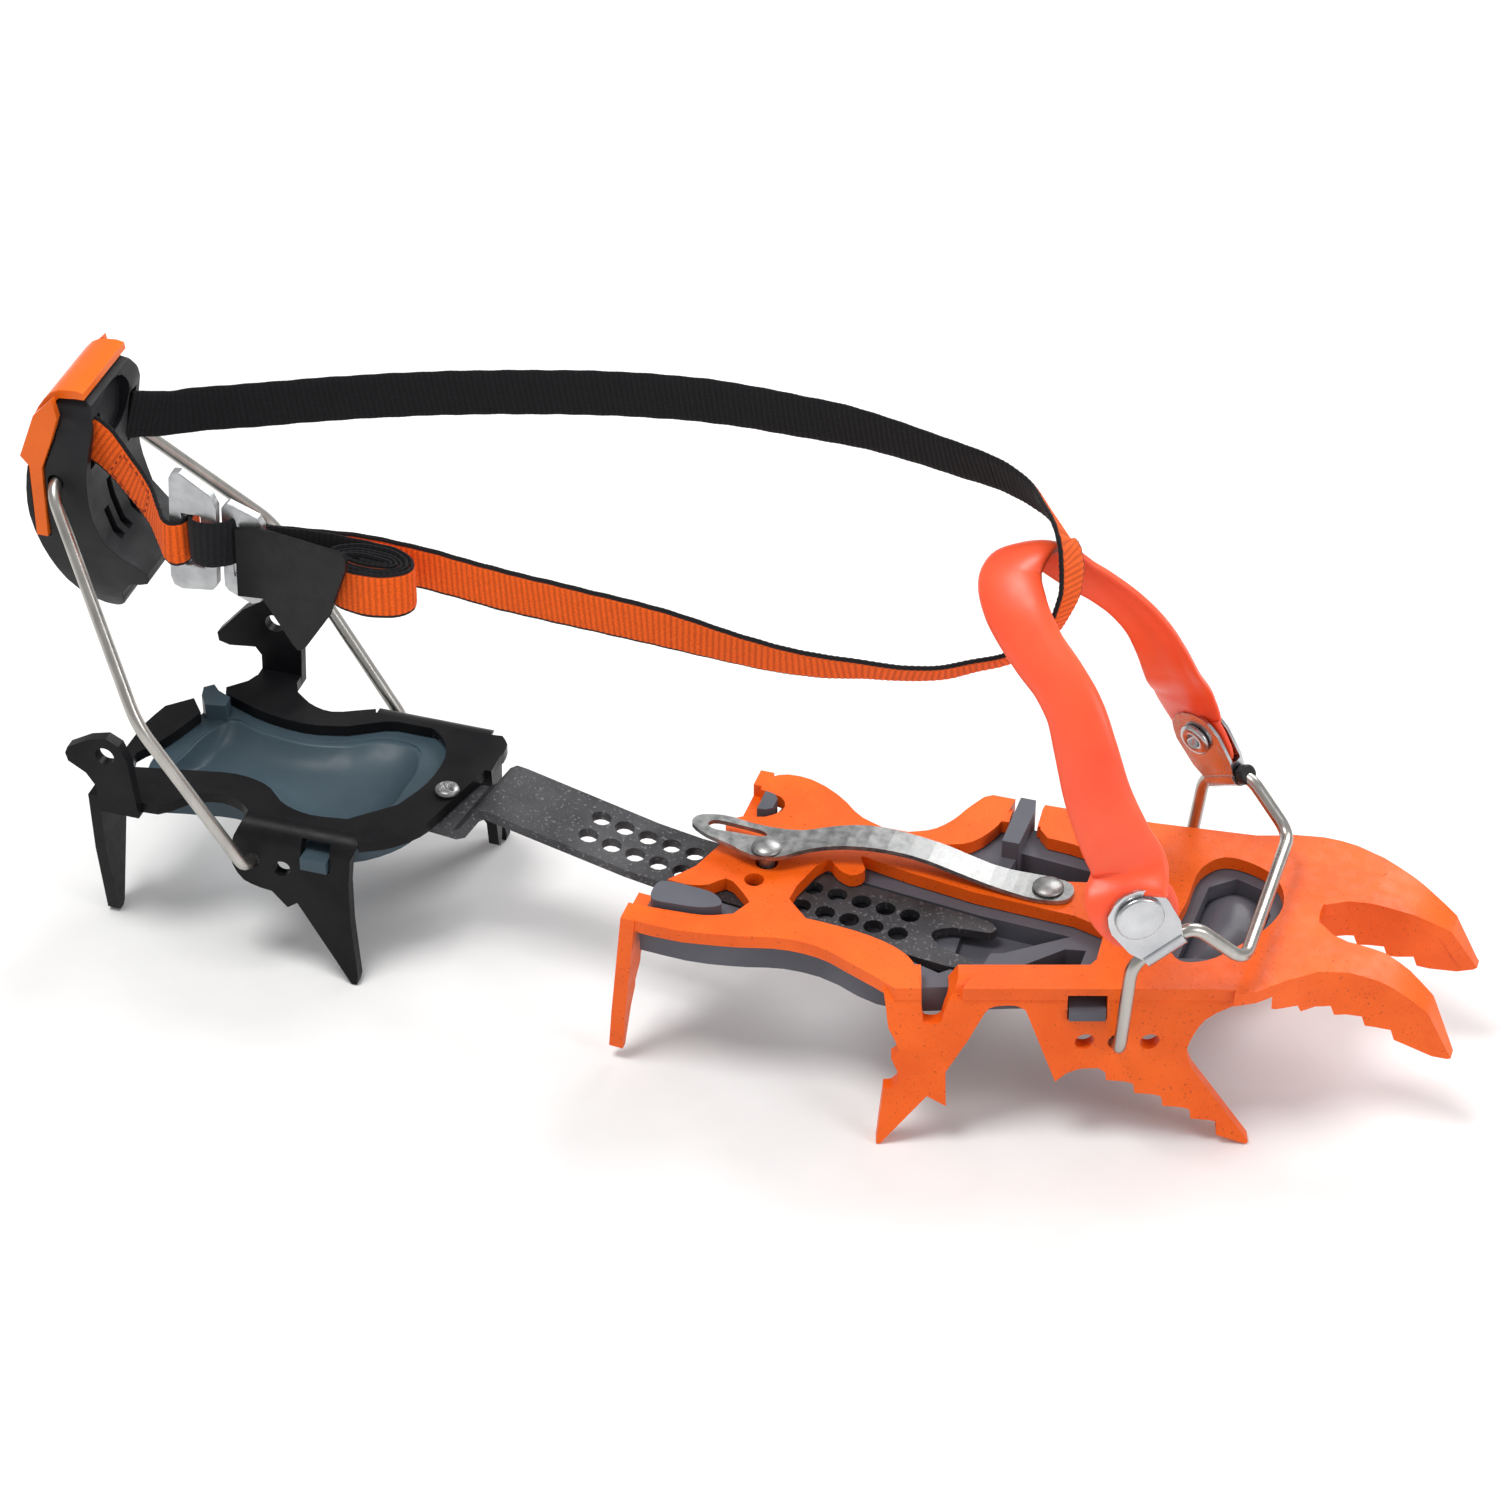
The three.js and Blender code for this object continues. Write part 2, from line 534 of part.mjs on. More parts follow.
function linkBar() {
  const rise = (BAR_BEND - BAR_STEP) * Math.tan(rad(BAR_TILT));
  const topLine = [
    [BAR_FORK, BAR_TOP],
    [BAR_BEND + 6, BAR_TOP],
    [BAR_BEND - 6, BAR_TOP + 6 * Math.tan(rad(BAR_TILT))],
    [BAR_STEP + 3, BAR_TOP + rise - 3 * Math.tan(rad(BAR_TILT))],
    [BAR_STEP, BAR_TOP + rise - 0.3],
    [BAR_STEP - 2, BAR_TOP + rise - 1.8],
    [BAR_STEP - 6.2, BAR_REAR_TOP + 1.6],
    [BAR_STEP - 8.4, BAR_REAR_TOP],
    [BAR_END, BAR_REAR_TOP],
  ];
  const bottomLine = [
    [BAR_END, BAR_REAR_TOP - BAR_SHEET],
    [BAR_STEP - 7.4, BAR_REAR_TOP - BAR_SHEET],
    [BAR_STEP - 4.8, BAR_REAR_TOP - BAR_SHEET + 1.4],
    [BAR_STEP - 0.6, BAR_TOP + rise - 4.2],
    [BAR_STEP + 1, BAR_TOP + rise - BAR_SHEET - 0.6],
    [BAR_BEND - 6, BAR_TOP + 6 * Math.tan(rad(BAR_TILT)) - BAR_SHEET],
    [BAR_BEND + 6, BAR_TOP - BAR_SHEET],
    [BAR_FORK, BAR_TOP - BAR_SHEET],
  ];
  const half = BAR_WIDTH / 2;
  const origin = [BAR_START[0], BAR_START[1], 0];
  const side = prism([...topLine, ...bottomLine], origin, barDirection, Z, -half - 1, half + 1);
  const plan = prism([
    [BAR_END, -half + 3],
    [BAR_END + 3, -half],
    [BAR_FORK - 6, -half],
    ...arc([[BAR_FORK - 2, -half + 0.6], [BAR_FORK, -half + 2.4], [BAR_FORK - 1, -half + 4.4]], 5),
    ...arc([[-4, -4], [-7.4, -1.6], [-8, 0], [-7.4, 1.6], [-4, 4]], 6),
    ...arc([[BAR_FORK - 1, half - 4.4], [BAR_FORK, half - 2.4], [BAR_FORK - 2, half - 0.6]], 5),
    [BAR_FORK - 6, half],
    [BAR_END + 3, half],
    [BAR_END, half - 3],
  ], origin, barDirection, barAcross, 20, 60);
  const holes = [];
  for (let i = 0; i < BAR_HOLES; i += 1) {
    for (const row of [-1, 1]) {
      const s = BAR_FIRST_HOLE + i * BAR_HOLE_PITCH;
      const offset = (row * BAR_HOLE_ROWS) / 2;
      holes.push(rod(barPoint(s, offset, 25), barPoint(s, offset, 55), BAR_HOLE_RADIUS, 12));
    }
  }
  holes.push(rod(barPoint(-142, 0, 20), barPoint(-142, 0, 60), 2.3, 14));
  return cut(side.intersect(plan), holes);
}

add("link_bar", linkBar(), BAR_STEEL);

const LEAF_SHEET = 1.2;
const LEAF_FRONT = [13.6, -3];
const PIN = barPoint(-54.2, BAR_HOLE_ROWS / 2, 0);

// The leaf is drawn in plan and cut from an arched strip.
function lockLeaf() {
  const upper = arc(
    [
      [22, FRONT_TOP + GAP], [10, FRONT_TOP + GAP], [0, 40.6], [-18, 43.4], [-36, 44.4], [-50, 43.2],
      [-60, 42.6], [-80, 43.4],
    ],
    24
  );
  const section = [...upper, ...upper.slice().reverse().map(([x, z]) => [x, z + LEAF_SHEET])];
  const strip = prism(section, [0, 0, 0], X, Z, -40, 40);
  const outline = blob([
    [20, -3], [18.6, 0.4], [13, 1.6], [0, 0.8], [-16, 2.4], [-32, 2.4], [-42, -0.2], [-50, -3.4],
    [-62, -3.6], [-70, -3],
    [-76.4, -5.4], [-77, -8.4], [-73, -11.4], [-66, -13.4], [-59, -15.8], [-53, -15.4], [-46, -10.6],
    [-36, -7.2], [-22, -5.4],
    [-8, -6.4], [4, -7.4], [13, -7.8], [18.6, -6.2],
  ], 66);
  const slot = blob(
    [
      [-73, -7.6], [-72, -5.8], [-66, -5.4], [-58.6, -6.2], [-57.6, -7.4], [-60, -8.2], [-66, -8.6],
      [-71.4, -9],
    ],
    32
  );
  return cut(strip.intersect(plate(outline, 30, 60)), [
    plate(slot, 30, 60),
    rod([LEAF_FRONT[0], LEAF_FRONT[1], 30], [LEAF_FRONT[0], LEAF_FRONT[1], 60], 2.3),
    rod([PIN[0], PIN[1], 30], [PIN[0], PIN[1], 60], 2.3),
  ]);
}

add("lock_leaf", lockLeaf(), ZINC);

// A domed rivet: head radius, head base height, shank radius and the height of the shank's end.
function rivet(x, y, base, headRadius, headHeight, shankRadius, foot) {
  const profile = [
    new THREE.Vector2(0, foot), new THREE.Vector2(shankRadius, foot), new THREE.Vector2(shankRadius, base),
  ];
  for (let i = 0; i <= 5; i += 1) {
    const a = (i * Math.PI) / 10;
    profile.push(new THREE.Vector2(headRadius * Math.cos(a), base + headHeight * Math.sin(a)));
  }
  profile[profile.length - 1].x = 0;
  const geometry = new THREE.LatheGeometry(profile, 20);
  geometry.rotateX(Math.PI / 2);
  geometry.translate(x, y, 0);
  return solid(geometry);
}

add(
  "leaf_rivet",
  rivet(LEAF_FRONT[0], LEAF_FRONT[1], FRONT_TOP + GAP * 2 + LEAF_SHEET, 4, 1.4, 2, FRONT_TOP - FRONT_SHEET),
  ZINC
);
add("lock_pin", rivet(PIN[0], PIN[1], 42.7 + GAP + LEAF_SHEET, 3.9, 1.6, 2, BAR_TOP + GAP), ZINC);

// Heel frame ---------------------------------------------------------------------------------------------

const SCREW = barPoint(-142, 0, 0);

function rearFrame() {
  const outline = [
    ...arc([[-142.6, -13], [-144.6, -20.6], [-150.6, -28], [-157.6, -32]], 8),
    [-160, REAR_NEAR_Y + 5.9],
    [-188, REAR_NEAR_Y + 5.9],
    ...arc([[-189.4, -27.6], [-192.9, -25], [-198.8, -23.7], [-205, -25.9], [-209.4, -31]], 10),
    [-212, -33],
    [-227, -34],
    ...arc([[-229.6, -33], [-229.6, -20], [-229.4, -11], [-229, -2], [-227, 6.6]], 8),
    [-221.2, 12],
    ...arc([[-217, 6.7], [-219.4, -1], [-222.6, -9], [-226, -14.6], [-224.3, -20]], 8),
    ...arc(
      [[-210.5, -17], [-197.3, -14.8], [-188.5, -16.9], [-181.6, -22.6], [-173.9, -24.8], [-163.9, -23.6]],
      16
    ),
    ...arc([[-153.8, -14.2], [-149.8, -3], [-149.6, 9], [-153, 15.6], [-159.9, 19.6], [-169.7, 17.6]], 16),
    ...arc([[-178.4, 12.6], [-188.1, 10.4], [-201.3, 11.8], [-214.1, 16.5]], 8),
    [-215, 19],
    [-210.6, 23.4],
    [-209.4, 26.4],
    [-198, 26.4],
    ...arc([[-196.1, 22.6], [-190.4, 18.6], [-184.6, 17.4], [-177.8, 20.2], [-174, 22]], 10),
    [-173.6, REAR_FAR_Y - 5.9],
    [-141.6, REAR_FAR_Y - 5.9],
    ...arc([[-138.4, 21], [-136, 18], [-135.6, 14]], 4),
  ];
  const base = plate(outline, REAR_TOP - REAR_SHEET, REAR_TOP);
  const drawn = (shift) => [
    [-1.6 + shift, -9],
    ...arc(
      [
        [-1.6 + shift, -1], [-4 + shift, 4], [-5 + shift, 8.9], [-4.4 + shift, 12.8], [-1.4 + shift, 16.7],
        [3 + shift, 18],
      ],
      10
    ),
    [6.3 + shift, 18.4],
    [10.6 + shift, 22.3],
    [13.2 + shift, 20.4],
    [28 + shift, REAR_DROP],
    [29.4 + shift, REAR_DROP],
    [29.8 + shift, 39.2],
    [27.8 + shift, 23.4],
    [27.2 + shift, 12.1],
    [27.6 + shift, 5],
    [29.6 + shift, 0],
    [29.6 + shift, -9],
  ];
  const holes = (shift) => [[0.7 + shift, 10.2, 2.2, 2.2, 0], [9 + shift, 11.2, 2.4, 2.1, 25]];
  const near = flange(
    drawn(0), holes(0), [REAR_NEAR_X, REAR_NEAR_Y], 0, REAR_TOP, REAR_SHEET, REAR_SPLAY, 1, 8
  );
  const far = flange(
    drawn(0), holes(0), [REAR_FAR_X, REAR_FAR_Y], 0, REAR_TOP, REAR_SHEET, REAR_SPLAY, -1, 8
  );
  const nearWindow = flangeBlock(
    [14.2, 1.8, 22, 9.8], [REAR_NEAR_X, REAR_NEAR_Y], 0, REAR_TOP, REAR_SPLAY, 1
  );
  const farWindow = flangeBlock(
    [14.2, 1.8, 22, 9.8], [REAR_FAR_X, REAR_FAR_Y], 0, REAR_TOP, REAR_SPLAY, -1
  );
  const nearTab = prism([
    [-234.8, 49.8], [-234.2, 47.4], [-229.6, 44.6], [-227.2, 41], [-226.6, 33], [-216, 33], [-217.6, 50],
    [-219.6, 55],
    [-223, 56.8], [-228, 55.4], [-234, 51.8],
  ], [0, -34.5, 0], X, Z, -REAR_SHEET / 2, REAR_SHEET / 2);
  const farTab = prism([
    [-221.3, 45.2], [-221, 42.6], [-218, 41.8], [-210.6, 42.8], [-209, 40.5], [-209.2, 33], [-198, 33],
    [-197.5, 44],
    [-199, 52], [-202, 57.4], [-206.5, 59], [-213.4, 54.2],
  ], [0, 31, 0], X, Z, -REAR_SHEET / 2, REAR_SHEET / 2);
  const neck = plate(
    [[-209.2, 25], [-198, 25], [-198, 32.4], [-209.2, 32.4]], REAR_TOP - REAR_SHEET, REAR_TOP
  );
  const tooth = prism([
    [-34, 36], [-33.2, 18], [-30, GROUND + 1], [-29, GROUND], [-27, GROUND], [-26, GROUND + 1], [-20, 20],
    [-19, 36],
  ], [-229.2, 0, 0], Y, Z, -REAR_SHEET / 2, REAR_SHEET / 2);
  const prong = prism(
    [[6, 36], [7.4, 22], [9.2, 9.4], [10.2, 8.4], [11.4, 9.4], [13, 24], [14, 36]], [-137.4, 0, 0], Y, Z,
    -1.4, 1.4
  );
  return cut(union([base, near, far, nearTab, farTab, neck, tooth, prong]), [
    nearWindow,
    farWindow,
    rod([-223.8, -60, 51], [-223.8, -20, 51], 2.6),
    rod([-204.6, 20, 51.6], [-204.6, 50, 51.6], 2.6),
    rod([SCREW[0], SCREW[1], 20], [SCREW[0], SCREW[1], 60], 2.3),
  ]);
}

add("rear_frame", rearFrame(), BLACK_PAINT);

add(
  "rear_screw",
  rivet(SCREW[0], SCREW[1], REAR_TOP + GAP, 4, 1, 1.95, REAR_TOP - REAR_SHEET - BAR_SHEET - 2), ZINC
);

// Anti-balling plates ------------------------------------------------------------------------------------

function frontPlastic() {
  const top = FRONT_TOP - FRONT_SHEET - GAP;
  const floor = top - 7.5;
  const outline = [
    ...arc(
      [[-80, -41], [-66, -41.6], [-54, -39.8], [-44, -37.4], [-33, -38], [-20, -43], [-10, -43.4]], 14
    ),
    ...arc(
      [
        [4, -38.4], [20, -32.6], [36, -27.4], [52, -22.6], [62, -18.4], [70, -8], [72.4, 4], [72, 16],
        [66, 26],
      ],
      16
    ),
    ...arc(
      [[52, 29], [30, 26.6], [6, 25.2], [-9, 23], [-13, 16], [-20, 9.6], [-30, 6.8], [-40, 9.4], [-50, 17]],
      16
    ),
    [-57, 20.6],
    [-60, 16],
    [-63, 5],
    [-72, -6],
    [-78, -26],
  ];
  const body = plate(outline, floor, top);
  const pocket = (points) => plate(points, floor + 2, top + 1);
  const pockets = [
    pocket([[-36, -12], [-10, -13], [-22, -30], [-36, -28]]),
    pocket([[-5, -11.6], [22, -13], [8, -24], [-4, -28]]),
    pocket([[-15, -33], [-5, -36], [0, -31], [-8, -27]]),
    pocket([[10, -31], [27, -26], [27, -17], [22, -18]]),
    pocket([[-26, -1], [-6, -2], [-6, 6], [-22, 5]]),
    pocket([[0, 0], [20, 3], [22, 13], [2, 15]]),
    pocket([[49, -13], [60, -10], [66.4, 2], [67, 10], [63, 19], [56, 21.4], [50, 16]]),
    pocket([[-74, -38], [-62, -38], [-60, -32], [-74, -31]]),
  ];
  const channel = prism([
    [-120, -BAR_WIDTH / 2 - 0.8],
    [BAR_FORK + 2, -BAR_WIDTH / 2 - 0.8],
    [BAR_FORK + 2, BAR_WIDTH / 2 + 0.8],
    [-120, BAR_WIDTH / 2 + 0.8],
  ], [BAR_START[0], BAR_START[1], 0], barDirection, barAcross, BAR_TOP - BAR_SHEET - 1, 60);
  const nearBlock = plate(blob([
    [-79.4, -32.4], [-78.4, -35.8], [-72, -36.1], [-65, -35.2],
    [-61.4, -32.8], [-64, -29.6], [-70, -28.4], [-78.4, -28.7],
  ]), floor, FRONT_TOP + 1.2);
  const farBlock = plate(
    [[-60.8, 7.6], [-60.8, 11.6], [-62, 13.2], [-64.6, 13.8], [-64.6, 6.2], [-62.4, 6.4]], floor,
    FRONT_TOP + 1.2
  );
  const farClip = plate(
    [[-2.2, 12], [2.2, 12], [2.6, 26], [1.8, 30.4], [-2.2, 30.4], [-2.2, 25]], floor + 2, FRONT_TOP + 1.4
  );
  const nearKeyCorner = flangeKey(
    [16.4, 2.2, 26, 9.4], NEAR_CORNER, NEAR_YAW, FRONT_TOP, FRONT_SPLAY, 1, 12
  );
  const farKeyCorner = flangeKey([22, 2.2, 31, 9.4], FAR_CORNER, FAR_YAW, FRONT_TOP, FRONT_SPLAY, -1, 12);
  const raised = union([nearBlock, farBlock, farClip, nearKeyCorner, farKeyCorner]);
  const hollow = cut(body, pockets).add(raised);
  return cut(hollow, [channel]);
}

// The key of an anti-balling plate that clicks into a flange's window.
function flangeKey([s0, t0, s1, t1], corner, yaw, top, splay, side, depth) {
  const along = new THREE.Vector3(Math.cos(rad(yaw)), Math.sin(rad(yaw)), 0);
  const out = new THREE.Vector3(Math.sin(rad(yaw)) * side, -Math.cos(rad(yaw)) * side, 0);
  const c = Math.cos(rad(splay));
  const drawn = [
    [s0 + GAP, -(t1 - GAP) * c],
    [s1 - GAP, -(t1 - GAP) * c],
    [s1 - GAP, -(t0 + 4) * c],
    [s0 + GAP, -(t0 + 4) * c],
  ];
  const w = new THREE.Vector3().crossVectors(along, Z);
  const outward = Math.sign(w.dot(out));
  const near = outward > 0 ? [-depth, 1.6] : [-1.6, depth];
  return prism(drawn, [corner[0], corner[1], top], along, Z, near[0], near[1]);
}

add("front_antiball_plate", frontPlastic(), GREY_PLASTIC);

function rearPlastic() {
  const top = REAR_TOP - REAR_SHEET - GAP;
  const floor = top - 8;
  const rim = blob([
    [-220, -22], [-210, -21], [-197, -19], [-188, -21], [-182, -26.5], [-172, -28.4], [-162, -26.8],
    [-154, -20], [-150, -12],
    [-150, 4], [-149.6, 12], [-155, 18], [-162, 20.6], [-171, 20], [-179, 15.4], [-188, 13.6], [-200, 15],
    [-211, 19], [-217, 14],
    [-220, 4], [-223, -8],
  ], 63);
  const bowl = blob([
    [-217, -15], [-209, -14.4], [-197, -12], [-188, -14], [-181, -19.6], [-173, -21.6], [-164, -20.4],
    [-157, -12], [-156, -2],
    [-156, 7], [-159.4, 14], [-169, 14.6], [-178.4, 9.6], [-188, 7.4], [-201, 8.6], [-210, 11], [-214, 4],
    [-216, -6],
  ], 54);
  const block = plate(
    [
      [-216.4, 8.4], [-211, 9.4], [-211.4, 13.4], [-215.4, 15.2], [-217.6, 17.4], [-219.8, 15.4],
      [-218.8, 11.8],
    ],
    floor, REAR_TOP + 1.5
  );
  const barRoom = prism([
    [BAR_END - 1, -BAR_WIDTH / 2 - 0.8],
    [-120, -BAR_WIDTH / 2 - 0.8],
    [-120, BAR_WIDTH / 2 + 0.8],
    [BAR_END - 1, BAR_WIDTH / 2 + 0.8],
  ], [BAR_START[0], BAR_START[1], 0], barDirection, barAcross, BAR_REAR_TOP - BAR_SHEET - 2.4, 60);
  const nearKey = flangeKey(
    [14.2, 1.8, 22, 9.8], [REAR_NEAR_X, REAR_NEAR_Y], 0, REAR_TOP, REAR_SPLAY, 1, 14
  );
  const farKey = flangeKey([14.2, 1.8, 22, 9.8], [REAR_FAR_X, REAR_FAR_Y], 0, REAR_TOP, REAR_SPLAY, -1, 14);
  const body = plate(rim, floor, top).subtract(plate(bowl, floor + 2, top + 2));
  return cut(union([body, block, nearKey, farKey]), [barRoom]);
}

add("rear_antiball_plate", rearPlastic(), SLATE_PLASTIC);

// Toe bail and harness -----------------------------------------------------------------------------------

const BAIL_HOLE_Z = FRONT_TOP - 15.4;
const BAIL_A = [42.8, 38.3, 52.5];
const BAIL_B = [55.1, 30.6, 61.4];
const BAIL_C = [67.4, 25.3, 49.4];
const mirrored = (p) => [p[0], -p[1], p[2]];

function toeBail() {
  const near = [
    [37.9, -28.1, BAIL_HOLE_Z], [41.1, -38.6, BAIL_HOLE_Z], mirrored(BAIL_A), mirrored(BAIL_B),
    mirrored(BAIL_C),
  ];
  const far = [BAIL_C, BAIL_B, BAIL_A, [39.5, 39.6, BAIL_HOLE_Z], [40.4, 28.6, BAIL_HOLE_Z]];
  return wire([...near, ...far], WIRE_RADIUS, 3, 52, 5);
}

add("toe_bail", toeBail(), STAINLESS);

// Each clip is drawn in its own plane: d runs along the bail wire, v up the harness arm.
function clipPlane(side) {
  const a = vec([BAIL_A[0], side * BAIL_A[1], BAIL_A[2]]);
  const b = vec([BAIL_B[0], side * BAIL_B[1], BAIL_B[2]]);
  const d = b.clone().sub(a).normalize();
  const rise = side < 0 ? new THREE.Vector3(-0.47, -0.235, 0.852) : new THREE.Vector3(-0.35, -0.02, 0.93);
  const v = rise.clone().addScaledVector(d, -rise.dot(d)).normalize();
  const middle = a.clone().add(b).multiplyScalar(0.5);
  return { middle, d, v, w: new THREE.Vector3().crossVectors(d, v), out: side > 0 ? 1 : -1 };
}

const CLIP_RIVET = 13;
const CLIP_HALF = 2.3;
const HARNESS_THICK = 1.9;

function clip(side) {
  const { middle, d, v, w } = clipPlane(side);
  const at = middle.toArray();
  const outline = [
    [-5.4, 0.4], [5.4, 0.4], [7.2, 5], [7.8, 12],
    ...arc([[7.8, 13], [6, 18], [0, 20.6], [-6, 18], [-7.8, 13]], 8),
    [-7.2, 5],
  ];
  const plates = prism(outline, at, d, v, -CLIP_HALF, CLIP_HALF);
  const roll = rod(
    middle.clone().addScaledVector(d, -5.4).toArray(),
    middle.clone().addScaledVector(d, 5.4).toArray(),
    WIRE_RADIUS + 1.2,
    16,
  );
  const slit = prism(
    [[-12, 4.2], [12, 4.2], [12, 24], [-12, 24]], at, d, v, -HARNESS_THICK / 2 - 0.45,
    HARNESS_THICK / 2 + 0.45
  );
  const rivetAt = middle.clone().addScaledVector(v, CLIP_RIVET);
  return cut(plates.add(roll), [
    rod(
      middle.clone().addScaledVector(d, -10).toArray(), middle.clone().addScaledVector(d, 10).toArray(),
      WIRE_RADIUS + 0.4, 16
    ),
    slit,
    rod(
      rivetAt.clone().addScaledVector(w, -8).toArray(), rivetAt.clone().addScaledVector(w, 8).toArray(),
      2.4, 16
    ),
  ]);
}

function clipRivet(side) {
  const { middle, v, w, out } = clipPlane(side);
  const centre = middle.clone().addScaledVector(v, CLIP_RIVET);
  const point = (depth) => centre.clone().addScaledVector(w, depth * -out * side).toArray();
  const headRadius = side < 0 ? 5.9 : 4.2;
  const shank = rod(point(-CLIP_HALF - 1.2), point(CLIP_HALF + 1.2), 2, 16);
  const head = rod(point(CLIP_HALF + GAP), point(CLIP_HALF + 1.6), headRadius, 24);
  const backHead = rod(point(-CLIP_HALF - GAP), point(-CLIP_HALF - 1.3), side < 0 ? 4.2 : 5.9, 24);
  return union([shank, head, backHead]);
}

function harness() {
  const station = (side, t, width) => {
    const { middle, d, v } = clipPlane(side);
    return [middle.clone().addScaledVector(v, t).toArray(), d.toArray(), width, HARNESS_THICK];
  };
  const stations = [
    station(-1, 5.5, 13),
    station(-1, CLIP_RIVET, 15),
    station(-1, 21, 17.5),
    [[36, -34.4, 85.7], [0.86, 0.28, 0.42], 17.5, 2.4],
    [[31.1, -33, 96], [0.88, 0.25, 0.4], 16, 2.6],
    [[27.1, -31, 107.4], [0.9, 0.2, 0.38], 15, 3],
    [[23.5, -28.4, 115.7], [0.9, 0.18, 0.38], 14, 3],
    [[18.6, -25.4, 121.4], [0.9, 0.15, 0.4], 13.6, 3],
    [[12.2, -21.6, 126.2], [0.9, 0.1, 0.4], 14, 3],
    [[5.2, -15.4, 132.6], [0.93, 0.06, 0.3], 15.4, 3],
    [[2, -8.6, 136.5], [0.95, 0, 0.25], 15.6, 3],
    [[4.1, -2, 138.6], [0.92, -0.04, 0.36], 15, 3],
    [[8.2, 4.6, 134.5], [0.9, 0, 0.34], 12.6, 3],
    [[15, 7.6, 128.6], [0.8, -0.05, 0.5], 11.4, 2.8],
    [[20.2, 9, 125], [0.76, -0.07, 0.57], 11, 2.6],
    [[25.7, 11.4, 119.5], [0.76, -0.1, 0.57], 11, 2.6],
    [[30.3, 14.4, 112.3], [0.76, -0.12, 0.57], 11.5, 2.5],
    [[33.4, 18.6, 103], [0.76, -0.18, 0.57], 12.4, 2.4],
    [[35.6, 24.6, 91.6], [0.75, -0.28, 0.55], 13.4, 2.2],
    [[37.4, 31.6, 81.4], [0.73, -0.4, 0.54], 14.4, 2],
    station(1, 19.5, 15),
    station(1, CLIP_RIVET, 14.5),
    station(1, 5.5, 13),
  ];
  const band = ribbon(stations, 46);
  const holes = [-1, 1].map((side) => {
    const { middle, v, w } = clipPlane(side);
    const at = middle.clone().addScaledVector(v, CLIP_RIVET);
    return rod(
      at.clone().addScaledVector(w, -8).toArray(), at.clone().addScaledVector(w, 8).toArray(), 2.4, 16
    );
  });
  return cut(band, holes);
}

add("toe_harness", harness(), HARNESS_RUBBER);
for (const [name, side] of [["near", -1], ["far", 1]]) {
  add(`clip_${name}`, clip(side), ZINC);
  add(`clip_rivet_${name}`, clipRivet(side), ZINC);
}

// Heel bail, lever and adjuster --------------------------------------------------------------------------

const HEEL_HOLE_Z = REAR_TOP - 10.1;
const CROSSBAR = [-238, -3.4, 120.5];

function heelBail() {
  return wire([
    [-186.3, -32, HEEL_HOLE_Z],
    [-186.3, -38.6, HEEL_HOLE_Z + 0.4],
    [-209.7, -44, 70.1],
    [CROSSBAR[0], -21.9, CROSSBAR[2]],
    [CROSSBAR[0], 15.1, CROSSBAR[2]],
    [-208.7, 42, 74.7],
    [-170.3, 31.6, HEEL_HOLE_Z + 0.4],
    [-170.3, 24.6, HEEL_HOLE_Z],
  ], WIRE_RADIUS, 4, 52, 5);
}

add("heel_bail", heelBail(), STAINLESS);

const LEVER_HALF = 15.6;
const WING_INSET = 1.4;
const leverPlane = (outline, half) => prism(outline, [0, CROSSBAR[1], 0], X, Z, -half, half);

const LEVER_BACK = [
  [-231.6, 143.6], [-236, 143], [-240, 138.4], [-243.2, 131], [-245.8, 121], [-246.4, 111], [-244.4, 100],
  [-240.4, 89.6],
  [-235.6, 82.6],
];

// A slot cut into the lever's front face.
function leverSlot(y, z, halfWidth, halfHeight, floor = -232.4) {
  const outline = [
    [y - halfWidth, z - halfHeight], [y + halfWidth, z - halfHeight],
    [y + halfWidth, z + halfHeight], [y - halfWidth, z + halfHeight],
  ];
  return prism(outline, [0, 0, 0], Y, Z, floor, -180);
}

